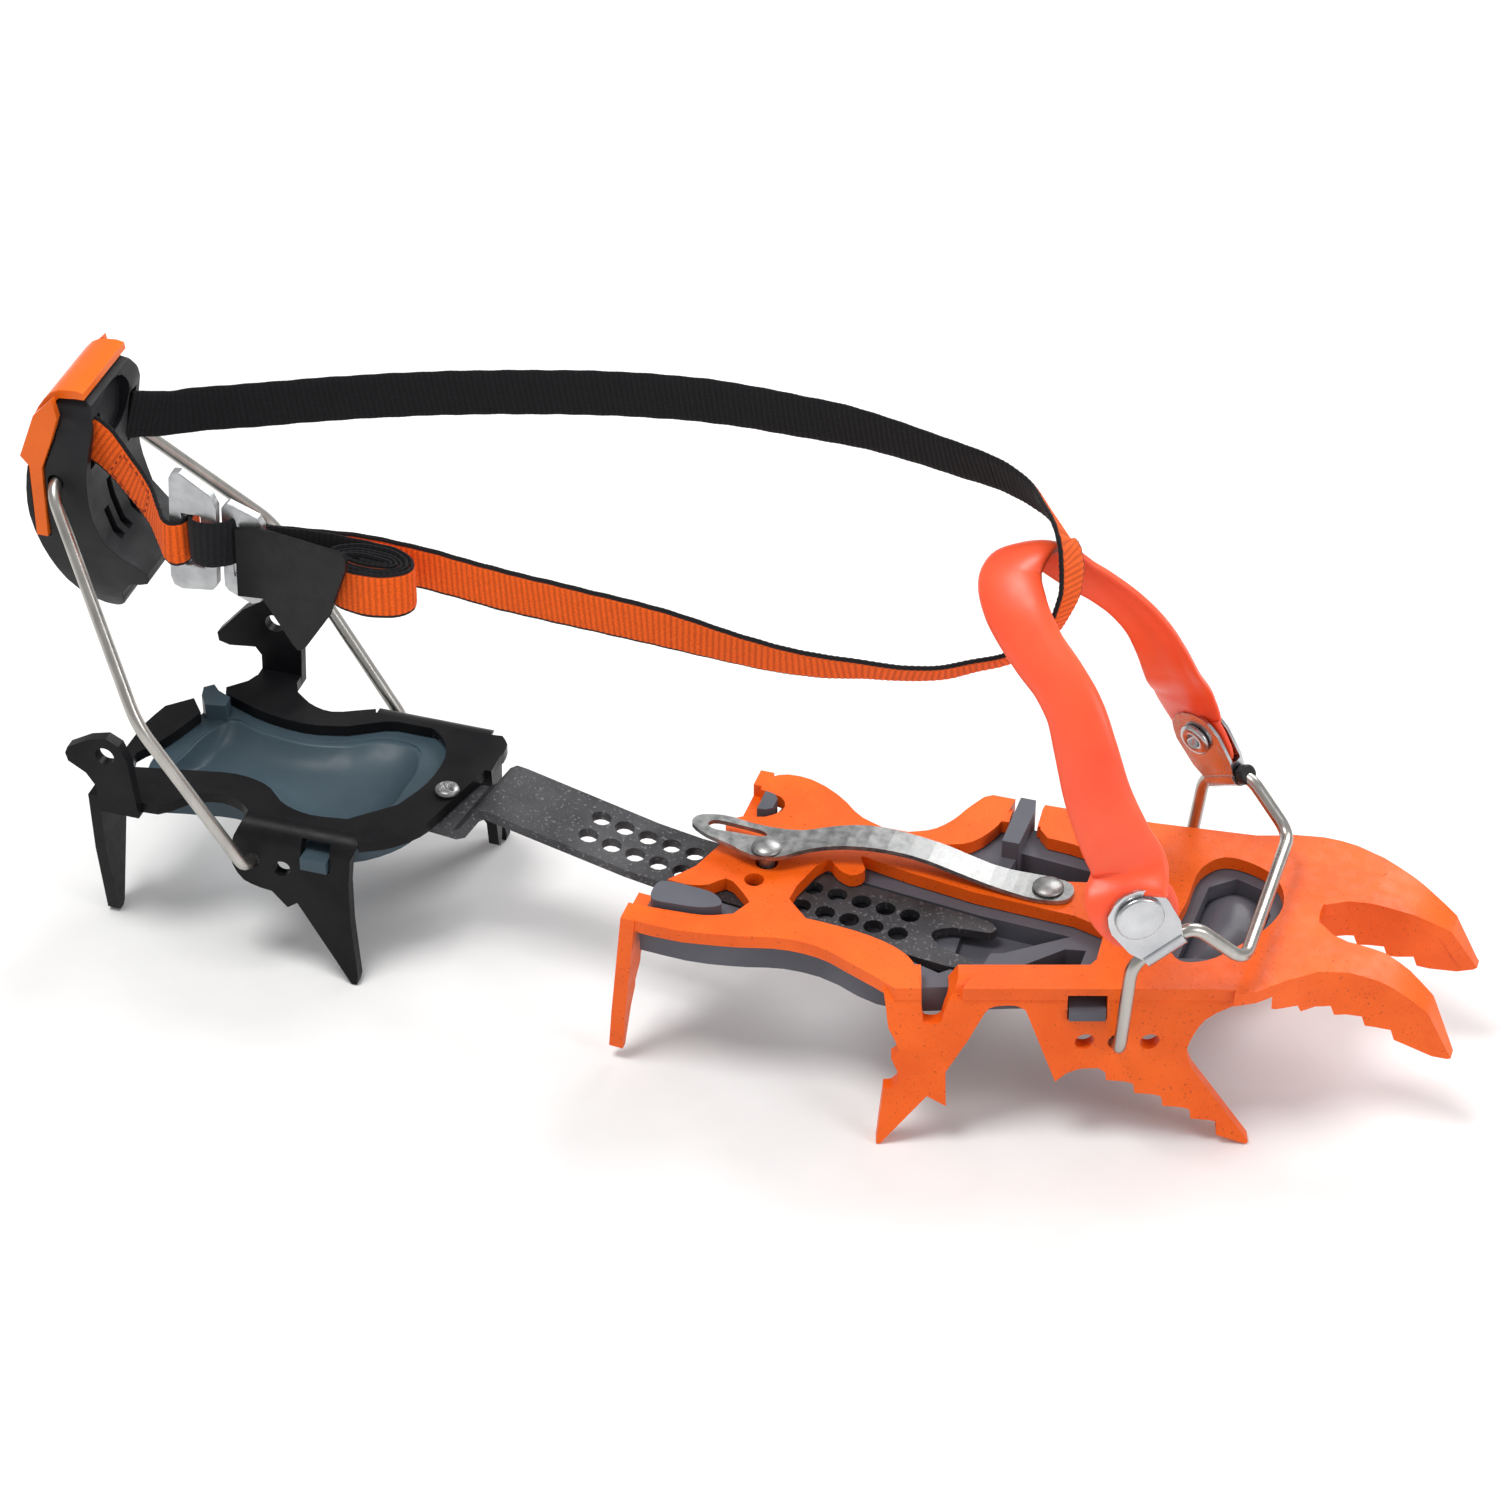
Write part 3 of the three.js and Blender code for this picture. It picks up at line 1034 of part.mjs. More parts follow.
function heelLever() {
  const side = [
    ...arc(LEVER_BACK, 20),
    ...arc([[-232, 80.2], [-228.6, 80], [-226, 82], [-225, 87]], 6),
    ...arc([[-222, 91], [-217, 92.4], [-216.4, 96], [-222.6, 100]], 6),
    ...arc(
      [[-226.8, 104], [-229.2, 112], [-229.6, 121], [-228.4, 130], [-227.2, 137], [-228.2, 142.2]], 12
    ),
  ];
  const face = [
    ...arc(
      [[-7, 79], [-11, 86], [-14, 97], [-LEVER_HALF, 110], [-LEVER_HALF, 127], [-14.2, 138], [-10, 144]], 14
    ),
    ...arc([[10, 144], [14.2, 138], [LEVER_HALF, 127], [LEVER_HALF, 110], [14, 97], [11, 86], [7, 79]], 14),
  ];
  const body = leverPlane(side, LEVER_HALF).intersect(prism(face, [0, CROSSBAR[1], 0], Y, Z, -300, -180));
  const hollow = blob(
    [[0, 127], [-6.6, 129], [-8.4, 135], [-6, 140.6], [0, 142], [6, 140.6], [8.4, 135], [6.6, 129]], 24
  );
  const ribSlot = (y, z, half) => leverSlot(CROSSBAR[1] + y, z, 1.2, half);
  const strapSlot = (y, z) => leverSlot(y, z, 2, 7.4, -234);
  const wingRoom = (side) => prism([
    [-244.8, 103.6], [-241, 103.6], [-240.6, 124], [-237, 133], [-233, 146], [-250, 146], [-250, 124.6],
    [-244.8, 124],
  ], [0, CROSSBAR[1] + side * LEVER_HALF, 0], X, Z, -WING_INSET - GAP, WING_INSET + GAP);
  return cut(body, [
    prism(hollow, [0, CROSSBAR[1], 0], Y, Z, -230.5, -215),
    ribSlot(-8, 106, 4),
    ribSlot(-3.4, 109, 7),
    ribSlot(3.4, 109, 7),
    ribSlot(8, 106, 4),
    rod([CROSSBAR[0], -40, CROSSBAR[2]], [CROSSBAR[0], 40, CROSSBAR[2]], WIRE_RADIUS + 0.4, 16),
    strapSlot(CROSSBAR[1] - 11, 131.6),
    strapSlot(CROSSBAR[1] + 11, 126),
    wingRoom(-1),
    wingRoom(1),
  ]);
}

add("heel_lever", heelLever(), LEVER_PLASTIC);

// The adjuster hugs the top of the lever's back and runs down both of its sides.
function leverAdjuster() {
  const outer = [
    [-229.4, 144.2], [-229.6, 146], ...arc(
      [[-231.6, 146.4], [-237.2, 145.4], [-242, 140], [-245.8, 131.4], [-247.4, 125]], 10
    ),
    [-245, 124.6],
  ];
  const inner = [
    [-215, 144], [-231.6, 144], [-236.3, 143.4], [-240.5, 138.6], [-243.7, 131.2], [-246.6, 119],
    [-215, 119],
  ];
  const cap = leverPlane(outer.concat([[-240, 132], [-234, 140]]), 12.4).subtract(leverPlane(inner, 30));
  const wing = (side) => prism([
    [-244.4, 104], [-241.4, 104], [-241, 124.4], [-237.6, 133.2], [-235.4, 140], [-236.4, 145.2],
    [-241.8, 139.6], [-246.6, 127],
    [-244.4, 124.4],
  ], [
    0, CROSSBAR[1] + side * LEVER_HALF, 0,
  ], X, Z, side > 0 ? -0.6 : -WING_INSET, side > 0 ? WING_INSET : 0.6);
  const shoulder = leverPlane([
    [-241.8, 139.6], [-246.6, 127], [-245, 124.8], [-243.9, 131.6], [-240.8, 138.8],
  ], LEVER_HALF + 0.4);
  return union([cap, shoulder.subtract(leverPlane(inner, 30)), wing(-1), wing(1)]);
}

add("lever_adjuster", leverAdjuster(), ORANGE_PLASTIC);

// Strap and buckle ---------------------------------------------------------------------------------------

add("strap_far_run", ribbon([
  [[-228, 8, 125.6], [0, 0, 1]], [[-222.6, 14.4, 123], [0, 0, 1]], [
    [-216.3, 18.8, 122.7], [0, 0, 1],
  ], [[-204.9, 22.5, 123.7], [0, 0, 1]],
  [[-181.6, 28, 127.1], [0, -0.02, 1]], [[-157.6, 31.6, 131], [0, -0.02, 1]], [
    [-133.3, 33.6, 134.9], [0, -0.02, 1],
  ],
  [[-108.8, 34, 138.9], [0, -0.02, 1]], [[-84, 32.6, 142.4], [0, -0.05, 1]], [
    [-58.9, 29, 144.9], [0, -0.12, 0.99],
  ],
  [
    [-46.4, 26.6, 146.2], [0, -0.18, 0.98],
  ], [[-33.8, 23.6, 146.7], [0, -0.26, 0.97]], [[-21.1, 20, 147], [0, -0.3, 0.95]],
], 44), BLACK_WEB);

add("strap_toe_loop", ribbon([
  [[-20.6, 19.8, 147], [0, -0.3, 0.95]], [[-8.4, 15.2, 148], [0, -0.37, 0.93]], [
    [-1.7, 11.8, 148], [-0.15, -0.35, 0.92],
  ],
  [[4.4, 7.8, 147], [-0.32, -0.3, 0.9]], [[8.6, 2.8, 146.9], [-0.41, -0.28, 0.87]], [
    [12.9, -2.7, 145.7], [-0.4, -0.32, 0.85],
  ],
  [
    [15.4, -4.6, 140.2], [-0.3, -0.42, 0.85],
  ], [[16, -6.6, 134.4], [-0.12, -0.52, 0.84]], [[15.2, -8.2, 129.8], [0, -0.57, 0.82]],
  [
    [13.3, -9.8, 125.4], [0.14, -0.6, 0.79],
  ], [[9, -11, 120], [0.2, -0.64, 0.74]], [[2.8, -13, 115.6], [0.12, -0.68, 0.7]],
  [[-4.2, -15.8, 114], [0, -0.72, 0.69]],
], 40), ORANGE_WEB);

add("strap_near_run", ribbon([
  [[-4.6, -16, 113.9], [0, -0.72, 0.69]], [
    [-11.1, -18.8, 112.6], [0, -0.69, 0.72],
  ], [[-20.2, -22.2, 112.8], [0, -0.66, 0.75]],
  [
    [-29.5, -24.6, 113.6], [0, -0.59, 0.81],
  ], [[-38.9, -26, 113.5], [0, -0.5, 0.87]], [[-48.5, -27, 114], [0, -0.42, 0.91]],
  [
    [-58.2, -27.6, 115.1], [0, -0.34, 0.94],
  ], [[-78.1, -27.4, 117.1], [0, -0.14, 0.99]], [[-98.9, -25.4, 116.8], [0, -0.09, 1]],
  [
    [-120.3, -22.5, 115.8], [0, -0.05, 1],
  ], [[-142, -19.3, 115.5], [0, -0.05, 1]], [[-158, -18.8, 115.4], [0, -0.03, 1]],
  [[-172, -20.4, 115], [0, 0, 1]], [[-181, -21.8, 115], [0, 0, 1]],
], 44), ORANGE_WEB);

// The buckle stands upright: drawn along the strap (x) and up (z), thickened from the boot side outwards.
const BUCKLE_MID = -24.5;
const buckleSheet = (outline, low, high) => prism(
  outline, [0, 0, 0], X, Z, -BUCKLE_MID + low, -BUCKLE_MID + high
);

function buckleRing(outline, slot, low, high) {
  const hole = [[slot[0], slot[2]], [slot[1], slot[2]], [slot[1], slot[3]], [slot[0], slot[3]]];
  return buckleSheet(outline, low, high).subtract(buckleSheet(hole, low - 2, high + 2));
}

add("buckle_ring_rear", buckleRing([
  [-204.4, 106], [-203.6, 103.4], [-201.4, 102.6], [-193.4, 103.8], [-192, 105.4], [-190.6, 128.6],
  [-192, 131.8],
  [-199.6, 137], [-201.6, 136.8], [-202.6, 134.8],
], [-200, -195, 110.2, 125.2], 1.4, 4), CAST_SILVER);

add("buckle_ring_front", buckleRing([
  [-191.4, 103.8], [-190.4, 102.4], [-184.4, 99.6], [-182.2, 100.6], [-181.2, 102.8], [-180, 123.2],
  [-181.2, 125.6],
  [-189, 128.6], [-190.6, 126.8],
], [-188.4, -184.4, 107.4, 122], -1.4, 1.2), CAST_SILVER);

// The pull tab is folded outwards along an upright line.
const TAB_FOLD = [-180.4, BUCKLE_MID - 2.5, 0];
const TAB_ANGLE = 24;

function buckleTab() {
  const leaf = new THREE.Vector3(Math.cos(rad(TAB_ANGLE)), -Math.sin(rad(TAB_ANGLE)), 0);
  const root = buckleSheet(
    [[-187.2, 102.8], [-186.6, 122.6], [TAB_FOLD[0], 124], [TAB_FOLD[0], 103.4]], 2, 3
  );
  const fin = prism([
    [-0.2, 103.4], [-0.2, 124], [29.8, 130.2], [30.8, 128.8], [30.4, 125.9], [23.4, 109.3], [13.4, 94.6],
    [11.6, 93.2], [9.8, 94.2],
  ], TAB_FOLD, leaf, Z, -0.5, 0.5);
  return root.add(fin);
}

add("buckle_tab", buckleTab(), BLACK_PAINT);

add("strap_fold", buckleSheet([
  [-200.8, 112.4], [-190.2, 111.6], [-190.2, 124.8], [-200.6, 125.6],
], 4.4, 6), BLACK_WEB);

add("strap_lever_tab", ribbon([
  [[-228.4, -14.4, 132], [0, 0, 1]], [[-225, -14.6, 129.6], [0, 0, 1]], [[-219, -16.6, 125.2], [0, 0, 1]],
  [[-212, -20.4, 120.6], [0, 0, 1]], [[-206, -23.4, 117.4], [0, 0, 1]], [[-198, -24.3, 116], [0, 0, 1]],
  [[-193, -24.3, 115.8], [0, 0, 1]],
], 24), ORANGE_WEB);

const COIL = [-151, -29.4, 116.4];
const COIL_HALF = [12, 7.4];

function tailCoil() {
  const [halfLength, halfDepth] = COIL_HALF;
  const body = prism(
    oval(COIL[0], COIL[1], halfLength, halfDepth), [0, 0, 0], X, Y, COIL[2] - STRAP_WIDTH / 2,
    COIL[2] + STRAP_WIDTH / 2
  );
  return body.subtract(prism(oval(COIL[0], COIL[1], 4, 1.6), [0, 0, 0], X, Y, COIL[2] + 1, COIL[2] + 20));
}

add("strap_tail_coil", tailCoil(), ORANGE_WEB);

crampon.position.set(...ORIGIN_SHIFT);
export default crampon;
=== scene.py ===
import math

import bmesh
import bpy
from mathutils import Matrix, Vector


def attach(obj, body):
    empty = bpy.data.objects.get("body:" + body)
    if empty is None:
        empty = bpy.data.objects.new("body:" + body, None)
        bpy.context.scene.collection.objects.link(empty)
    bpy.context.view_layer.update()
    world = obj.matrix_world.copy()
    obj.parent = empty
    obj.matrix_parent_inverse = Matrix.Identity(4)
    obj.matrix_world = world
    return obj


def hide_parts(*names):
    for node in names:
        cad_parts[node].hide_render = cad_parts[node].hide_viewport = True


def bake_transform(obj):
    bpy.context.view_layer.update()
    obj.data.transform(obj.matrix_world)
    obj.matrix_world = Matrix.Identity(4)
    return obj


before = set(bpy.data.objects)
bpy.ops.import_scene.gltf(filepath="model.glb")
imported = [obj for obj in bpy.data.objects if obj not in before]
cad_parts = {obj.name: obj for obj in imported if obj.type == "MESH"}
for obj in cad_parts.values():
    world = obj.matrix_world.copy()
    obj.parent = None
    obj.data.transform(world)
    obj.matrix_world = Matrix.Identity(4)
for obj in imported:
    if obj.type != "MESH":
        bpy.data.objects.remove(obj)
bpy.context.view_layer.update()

MM = 0.001
# The drawing frame of the model, in millimetres, has its origin here in the row frame.
DRAWING_ORIGIN = Vector((65.05, 6.68, 5.0))

CAMERA_PLACE = Vector((0.26765, -0.83552, 0.7428))
CAMERA_TARGET = Vector((-0.00875, 0.03618, 0.0451))
CAMERA_LENS = 107.54
SENSOR = 36.0

WIRE_RADIUS = 1.65
WEB_WIDTH = 13.0
WEB_THICKNESS = 1.5
RIB_PITCH = 1.5
RIB_DEPTH = 0.13


# Camera, floor and light -----------------------------------------------------------------------------


def add_camera():
    data = bpy.data.cameras.new("camera")
    data.lens = CAMERA_LENS
    data.sensor_width = SENSOR
    data.clip_start = 0.01
    camera = bpy.data.objects.new("camera", data)
    camera.location = CAMERA_PLACE
    direction = CAMERA_TARGET - CAMERA_PLACE
    camera.rotation_euler = direction.to_track_quat("-Z", "Y").to_euler()
    bpy.context.scene.collection.objects.link(camera)
    bpy.context.scene.camera = camera


def add_light(name, place, target, size, power, colour=(1, 1, 1)):
    data = bpy.data.lights.new(name, "AREA")
    data.shape = "DISK"
    data.size = size
    data.energy = power
    data.color = colour
    light = bpy.data.objects.new(name, data)
    light.location = place
    light.rotation_euler = (Vector(target) - Vector(place)).to_track_quat("-Z", "Y").to_euler()
    bpy.context.scene.collection.objects.link(light)


def add_world():
    world = bpy.data.worlds.new("studio")
    world.use_nodes = True
    background = world.node_tree.nodes["Background"]
    background.inputs["Color"].default_value = (1.0, 1.0, 1.0, 1.0)
    background.inputs["Strength"].default_value = 0.5
    bpy.context.scene.world = world
    bpy.context.scene.view_settings.view_transform = "Standard"


def add_floor():
    mesh = bpy.data.meshes.new("floor")
    half = 3.0
    corners = [(-half, -half, 0), (half, -half, 0), (half, half, 0), (-half, half, 0)]
    mesh.from_pydata(corners, [], [(0, 1, 2, 3)])
    floor = bpy.data.objects.new("floor", mesh)
    floor.location.z = -0.0003
    bpy.context.scene.collection.objects.link(floor)
    look = Look("floor_paper", (0.86, 0.86, 0.86), 0.75)
    look.vary(((0.84, 0.84, 0.84), (0.88, 0.88, 0.88)), 30)
    look.bump(400, 0.02)
    mesh.materials.append(look.material)


# Materials -------------------------------------------------------------------------------------------


class Look:
    """A Principled material that is built up from procedural detail."""

    def __init__(self, name, colour, roughness, metallic=0.0):
        self.material = bpy.data.materials.new(name)
        self.material.use_nodes = True
        self.tree = self.material.node_tree
        self.shader = self.tree.nodes["Principled BSDF"]
        self.set("Base Color", (*colour, 1.0))
        self.set("Roughness", roughness)
        self.set("Metallic", metallic)
        self.height = None

    def set(self, socket, value):
        self.shader.inputs[socket].default_value = value

    def node(self, kind, **settings):
        made = self.tree.nodes.new(kind)
        for key, value in settings.items():
            setattr(made, key, value)
        return made

    def link(self, source, target):
        self.tree.links.new(source, target)

    def place(self, stretch=(1, 1, 1), source="Object"):
        coordinates = self.node("ShaderNodeTexCoord")
        mapping = self.node("ShaderNodeMapping")
        mapping.inputs["Scale"].default_value = stretch
        self.link(coordinates.outputs[source], mapping.inputs["Vector"])
        return mapping.outputs["Vector"]

    def noise(self, scale, detail=4.0, stretch=(1, 1, 1)):
        texture = self.node("ShaderNodeTexNoise")
        texture.inputs["Scale"].default_value = scale
        texture.inputs["Detail"].default_value = detail
        self.link(self.place(stretch), texture.inputs["Vector"])
        return texture.outputs["Fac"]

    def ramp(self, factor, stops):
        ramp = self.node("ShaderNodeValToRGB")
        band = ramp.color_ramp
        while len(band.elements) < len(stops):
            band.elements.new(0.5)
        for element, (position, colour) in zip(band.elements, stops):
            element.position = position
            element.color = (*colour, 1.0)
        self.link(factor, ramp.inputs["Fac"])
        return ramp.outputs["Color"]

    def mix(self, factor, first, second):
        mixer = self.node("ShaderNodeMix", data_type="RGBA")
        self.link(factor, mixer.inputs["Factor"])
        self.link(first, mixer.inputs["A"])
        self.link(second, mixer.inputs["B"])
        return mixer.outputs["Result"]

    def maths(self, operation, first, second=None):
        made = self.node("ShaderNodeMath", operation=operation)
        for socket, value in zip(made.inputs, (first, second)):
            if value is None:
                continue
            if isinstance(value, (int, float)):
                socket.default_value = value
            else:
                self.link(value, socket)
        return made.outputs["Value"]

    def vary(self, colours, scale, low=0.35, high=0.65, detail=5.0, stretch=(1, 1, 1)):
        """The colour wanders between two colours."""
        factor = self.noise(scale, detail, stretch)
        colour = self.ramp(factor, [(low, colours[0]), (high, colours[1])])
        self.link(colour, self.shader.inputs["Base Color"])

    def speckle(self, colours, fleck, scale, amount=0.62):
        """The colour wanders between two colours and is dotted with fine flecks."""
        ground = self.ramp(self.noise(60, 3.0), [(0.35, colours[0]), (0.65, colours[1])])
        dots = self.ramp(self.noise(scale, 2.0), [(amount, (0, 0, 0)), (amount + 0.1, (1, 1, 1))])
        dark = self.node("ShaderNodeRGB")
        dark.outputs[0].default_value = (*fleck, 1.0)
        self.link(self.mix(dots, ground, dark.outputs[0]), self.shader.inputs["Base Color"])

    def rough(self, low, high, scale, stretch=(1, 1, 1)):
        """The roughness wanders between two values."""
        factor = self.noise(scale, 4.0, stretch)
        ranged = self.node("ShaderNodeMapRange")
        ranged.inputs["From Min"].default_value = 0.3
        ranged.inputs["From Max"].default_value = 0.7
        ranged.inputs["To Min"].default_value = low
        ranged.inputs["To Max"].default_value = high
        self.link(factor, ranged.inputs["Value"])
        self.link(ranged.outputs["Result"], self.shader.inputs["Roughness"])

    def bump(self, scale, depth_mm, stretch=(1, 1, 1), detail=3.0):
        """A fine noise relief of the given depth, in millimetres."""
        self.relief(self.noise(scale, detail, stretch), depth_mm)

    def relief(self, height, depth_mm):
        made = self.node("ShaderNodeBump")
        made.inputs["Distance"].default_value = depth_mm * MM
        self.link(height, made.inputs["Height"])
        if self.height is not None:
            self.link(self.height, made.inputs["Normal"])
        self.height = made.outputs["Normal"]
        self.link(self.height, self.shader.inputs["Normal"])


def orange_paint():
    look = Look("orange_powder_coat", (0.86, 0.12, 0.004), 0.42)
    look.speckle(((0.8, 0.1, 0.002), (0.92, 0.13, 0.005)), (0.42, 0.045, 0.002), 1500, 0.64)
    look.rough(0.36, 0.52, 250)
    look.bump(900, 0.05)
    look.bump(140, 0.06)
    look.set("Specular IOR Level", 0.3)
    return look.material


def black_paint():
    look = Look("black_gloss_coat", (0.008, 0.008, 0.009), 0.36)
    look.speckle(((0.005, 0.005, 0.006), (0.011, 0.011, 0.012)), (0.03, 0.03, 0.033), 1300, 0.7)
    look.rough(0.3, 0.44, 200)
    look.bump(700, 0.035)
    look.set("Specular IOR Level", 0.12)
    return look.material


def bar_steel():
    look = Look("dark_grained_steel", (0.055, 0.055, 0.06), 0.5, 0.55)
    look.speckle(((0.04, 0.04, 0.044), (0.075, 0.075, 0.08)), (0.16, 0.16, 0.17), 1100, 0.6)
    look.rough(0.38, 0.6, 300)
    look.bump(1000, 0.05)
    look.set("Specular IOR Level", 0.35)
    return look.material


def zinc():
    look = Look("zinc_plate", (0.33, 0.335, 0.33), 0.4, 0.9)
    look.vary(((0.24, 0.245, 0.245), (0.4, 0.405, 0.4)), 420, 0.3, 0.7)
    look.rough(0.3, 0.5, 420)
    look.bump(600, 0.03)
    return look.material


def bright_steel():
    look = Look("bright_plated_steel", (0.52, 0.53, 0.54), 0.26, 1.0)
    look.vary(((0.42, 0.43, 0.45), (0.6, 0.61, 0.62)), 90, 0.3, 0.7)
    look.rough(0.2, 0.32, 300)
    look.bump(900, 0.012)
    return look.material


def stainless():
    look = Look("drawn_stainless", (0.5, 0.48, 0.45), 0.3, 1.0)
    look.vary(((0.4, 0.385, 0.36), (0.5, 0.485, 0.455)), 260, 0.3, 0.7, stretch=(1.0, 1.0, 0.12))
    look.rough(0.26, 0.36, 400, (1.0, 1.0, 0.1))
    look.bump(1500, 0.006, (1.0, 1.0, 0.08))
    return look.material


def cast_silver():
    look = Look("cast_silver", (0.45, 0.46, 0.47), 0.4, 0.85)
    look.vary(((0.38, 0.39, 0.4), (0.52, 0.53, 0.54)), 180, 0.35, 0.65)
    look.rough(0.3, 0.48, 350)
    look.bump(1100, 0.03)
    return look.material


def plastic(name, colours, roughness, grain=0.02):
    look = Look(name, colours[0], sum(roughness) / 2)
    look.vary(colours, 45, 0.3, 0.7)
    look.rough(*roughness, 160)
    look.bump(1600, grain)
    look.bump(60, 0.05)
    look.set("Specular IOR Level", 0.22)
    return look.material


def harness_rubber():
    look = Look("harness_elastomer", (1.0, 0.1, 0.03), 0.42)
    look.vary(((0.98, 0.078, 0.02), (1.0, 0.12, 0.038)), 40, 0.3, 0.7)
    look.rough(0.36, 0.48, 120)
    look.bump(900, 0.015)
    look.set("Subsurface Weight", 0.25)
    look.set("Subsurface Radius", (0.006, 0.0016, 0.0008))
    look.set("Coat Weight", 0.1)
    look.set("Coat Roughness", 0.35)
    return look.material


def webbing(name, face, edge, back):
    """Ribbed flat webbing. The UV map runs in millimetres along the strap, and once round its section:
    the outer face up to 0.5 and the inner face after it."""
    look = Look(name, face, 0.85)
    split = look.node("ShaderNodeSeparateXYZ")
    look.link(look.place(source="UV"), split.inputs["Vector"])
    along = split.outputs["X"]
    around = split.outputs["Y"]
    wobble = look.maths("MULTIPLY", look.noise(700, 2.0), 0.5)
    turning = look.maths("MULTIPLY", along, 2 * math.pi / RIB_PITCH)
    ribs = look.maths("SINE", look.maths("ADD", turning, wobble))
    yarns = look.maths("SINE", look.maths("MULTIPLY", around, 2 * math.pi * 46))
    bands = look.node("ShaderNodeValToRGB")
    band = bands.color_ramp
    band.interpolation = "LINEAR"
    stops = [(0.0, edge), (0.034, edge), (0.04, face), (0.46, face), (0.466, edge), (0.534, edge)]
    stops += [(0.54, back), (0.96, back), (0.966, edge)]
    while len(band.elements) < len(stops):
        band.elements.new(0.5)
    for element, (position, colour) in zip(band.elements, stops):
        element.position = position
        element.color = (*colour, 1.0)
    look.link(around, bands.inputs["Fac"])
    # Painted shade: the rib wave darkens the colour in the grooves between the ribs, where shade falls.
    rib_groove_painted_shade = look.ramp(look.maths("MULTIPLY_ADD", ribs, 0.5), [(0.0, (0.45, 0.4, 0.4)), (0.75, (1, 1, 1))])
    fuzz = look.ramp(look.noise(2200, 2.0), [(0.3, (0.72, 0.72, 0.72)), (0.7, (1.12, 1.12, 1.12))])
    first = look.node("ShaderNodeMix", data_type="RGBA", blend_type="MULTIPLY")
    first.inputs["Factor"].default_value = 0.55
    look.link(bands.outputs["Color"], first.inputs["A"])
    look.link(rib_groove_painted_shade, first.inputs["B"])
    second = look.node("ShaderNodeMix", data_type="RGBA", blend_type="MULTIPLY")
    second.inputs["Factor"].default_value = 0.7
    look.link(first.outputs["Result"], second.inputs["A"])
    look.link(fuzz, second.inputs["B"])
    look.link(second.outputs["Result"], look.shader.inputs["Base Color"])
    look.relief(look.maths("MULTIPLY", yarns, 0.5), 0.07)
    look.bump(2600, 0.06)
    look.set("Specular IOR Level", 0.2)
    look.set("Sheen Weight", 0.04)
    look.set("Sheen Roughness", 0.5)
    return look.material


# Mesh building ---------------------------------------------------------------------------------------


def new_piece(name, vertices, faces, material, body=None, uv=None):
    """A mesh object from points in metres. uv is one pair for each face corner."""
    mesh = bpy.data.meshes.new(name)
    mesh.from_pydata([tuple(v) for v in vertices], [], faces)
    if uv is not None:
        layer = mesh.uv_layers.new(name="UVMap")
        for loop, value in zip(layer.data, uv):
            loop.uv = value
    mesh.polygons.foreach_set("use_smooth", [True] * len(mesh.polygons))
    mesh.materials.append(material)
    piece = bpy.data.objects.new(name, mesh)
    bpy.context.scene.collection.objects.link(piece)
    if body:
        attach(piece, body)
    return piece


def curve_point(points, t):
    """A point on the centripetal Catmull-Rom curve through the points, t from 0 to 1."""
    last = len(points) - 1
    place = min(t, 0.999999) * last
    i = int(place)
    share = place - i
    p1 = points[i]
    p2 = points[i + 1]
    p0 = points[i - 1] if i > 0 else p1 * 2 - p2
    p3 = points[i + 2] if i + 2 <= last else p2 * 2 - p1
    k0 = 0.0
    k1 = k0 + max((p1 - p0).length, 1e-9) ** 0.5
    k2 = k1 + max((p2 - p1).length, 1e-9) ** 0.5
    k3 = k2 + max((p3 - p2).length, 1e-9) ** 0.5
    k = k1 + (k2 - k1) * share
    a1 = p0 * ((k1 - k) / (k1 - k0)) + p1 * ((k - k0) / (k1 - k0))
    a2 = p1 * ((k2 - k) / (k2 - k1)) + p2 * ((k - k1) / (k2 - k1))
    a3 = p2 * ((k3 - k) / (k3 - k2)) + p3 * ((k - k2) / (k3 - k2))
    b1 = a1 * ((k2 - k) / (k2 - k0)) + a2 * ((k - k0) / (k2 - k0))
    b2 = a2 * ((k3 - k) / (k3 - k1)) + a3 * ((k - k1) / (k3 - k1))
    return b1 * ((k2 - k) / (k2 - k1)) + b2 * ((k - k1) / (k2 - k1))


def mixed(values, t):
    """The value between the listed ones at t from 0 to 1."""
    place = min(max(t, 0.0), 0.999999) * (len(values) - 1)
    i = int(place)
    share = place - i
    return values[i] * (1 - share) + values[i + 1] * share


def samples(stations, step):
    """Even samples along a strip: stations are (place in mm, direction across, width, thickness). Each
    sample is (distance along in mm, place, across, normal, width, thickness)."""
    places = [Vector(s[0]) for s in stations]
    across = [Vector(s[1]).normalized() for s in stations]
    widths = [s[2] for s in stations]
    depths = [s[3] for s in stations]
    fine = [curve_point(places, i / 1500) for i in range(1501)]
    run = [0.0]
    for a, b in zip(fine, fine[1:]):
        run.append(run[-1] + (b - a).length)
    count = max(2, round(run[-1] / step))
    made = []
    j = 0
    for i in range(count + 1):
        goal = run[-1] * i / count
        while j < 1499 and run[j + 1] < goal:
            j += 1
        share = (goal - run[j]) / max(run[j + 1] - run[j], 1e-9)
        t = (j + share) / 1500
        tangent = (fine[min(j + 2, 1500)] - fine[max(j - 1, 0)]).normalized()
        side = mixed(across, t)
        side = (side - tangent * side.dot(tangent)).normalized()
        place = fine[j].lerp(fine[j + 1], share)
        made.append((goal, place, side, tangent.cross(side), mixed(widths, t), mixed(depths, t)))
    return made


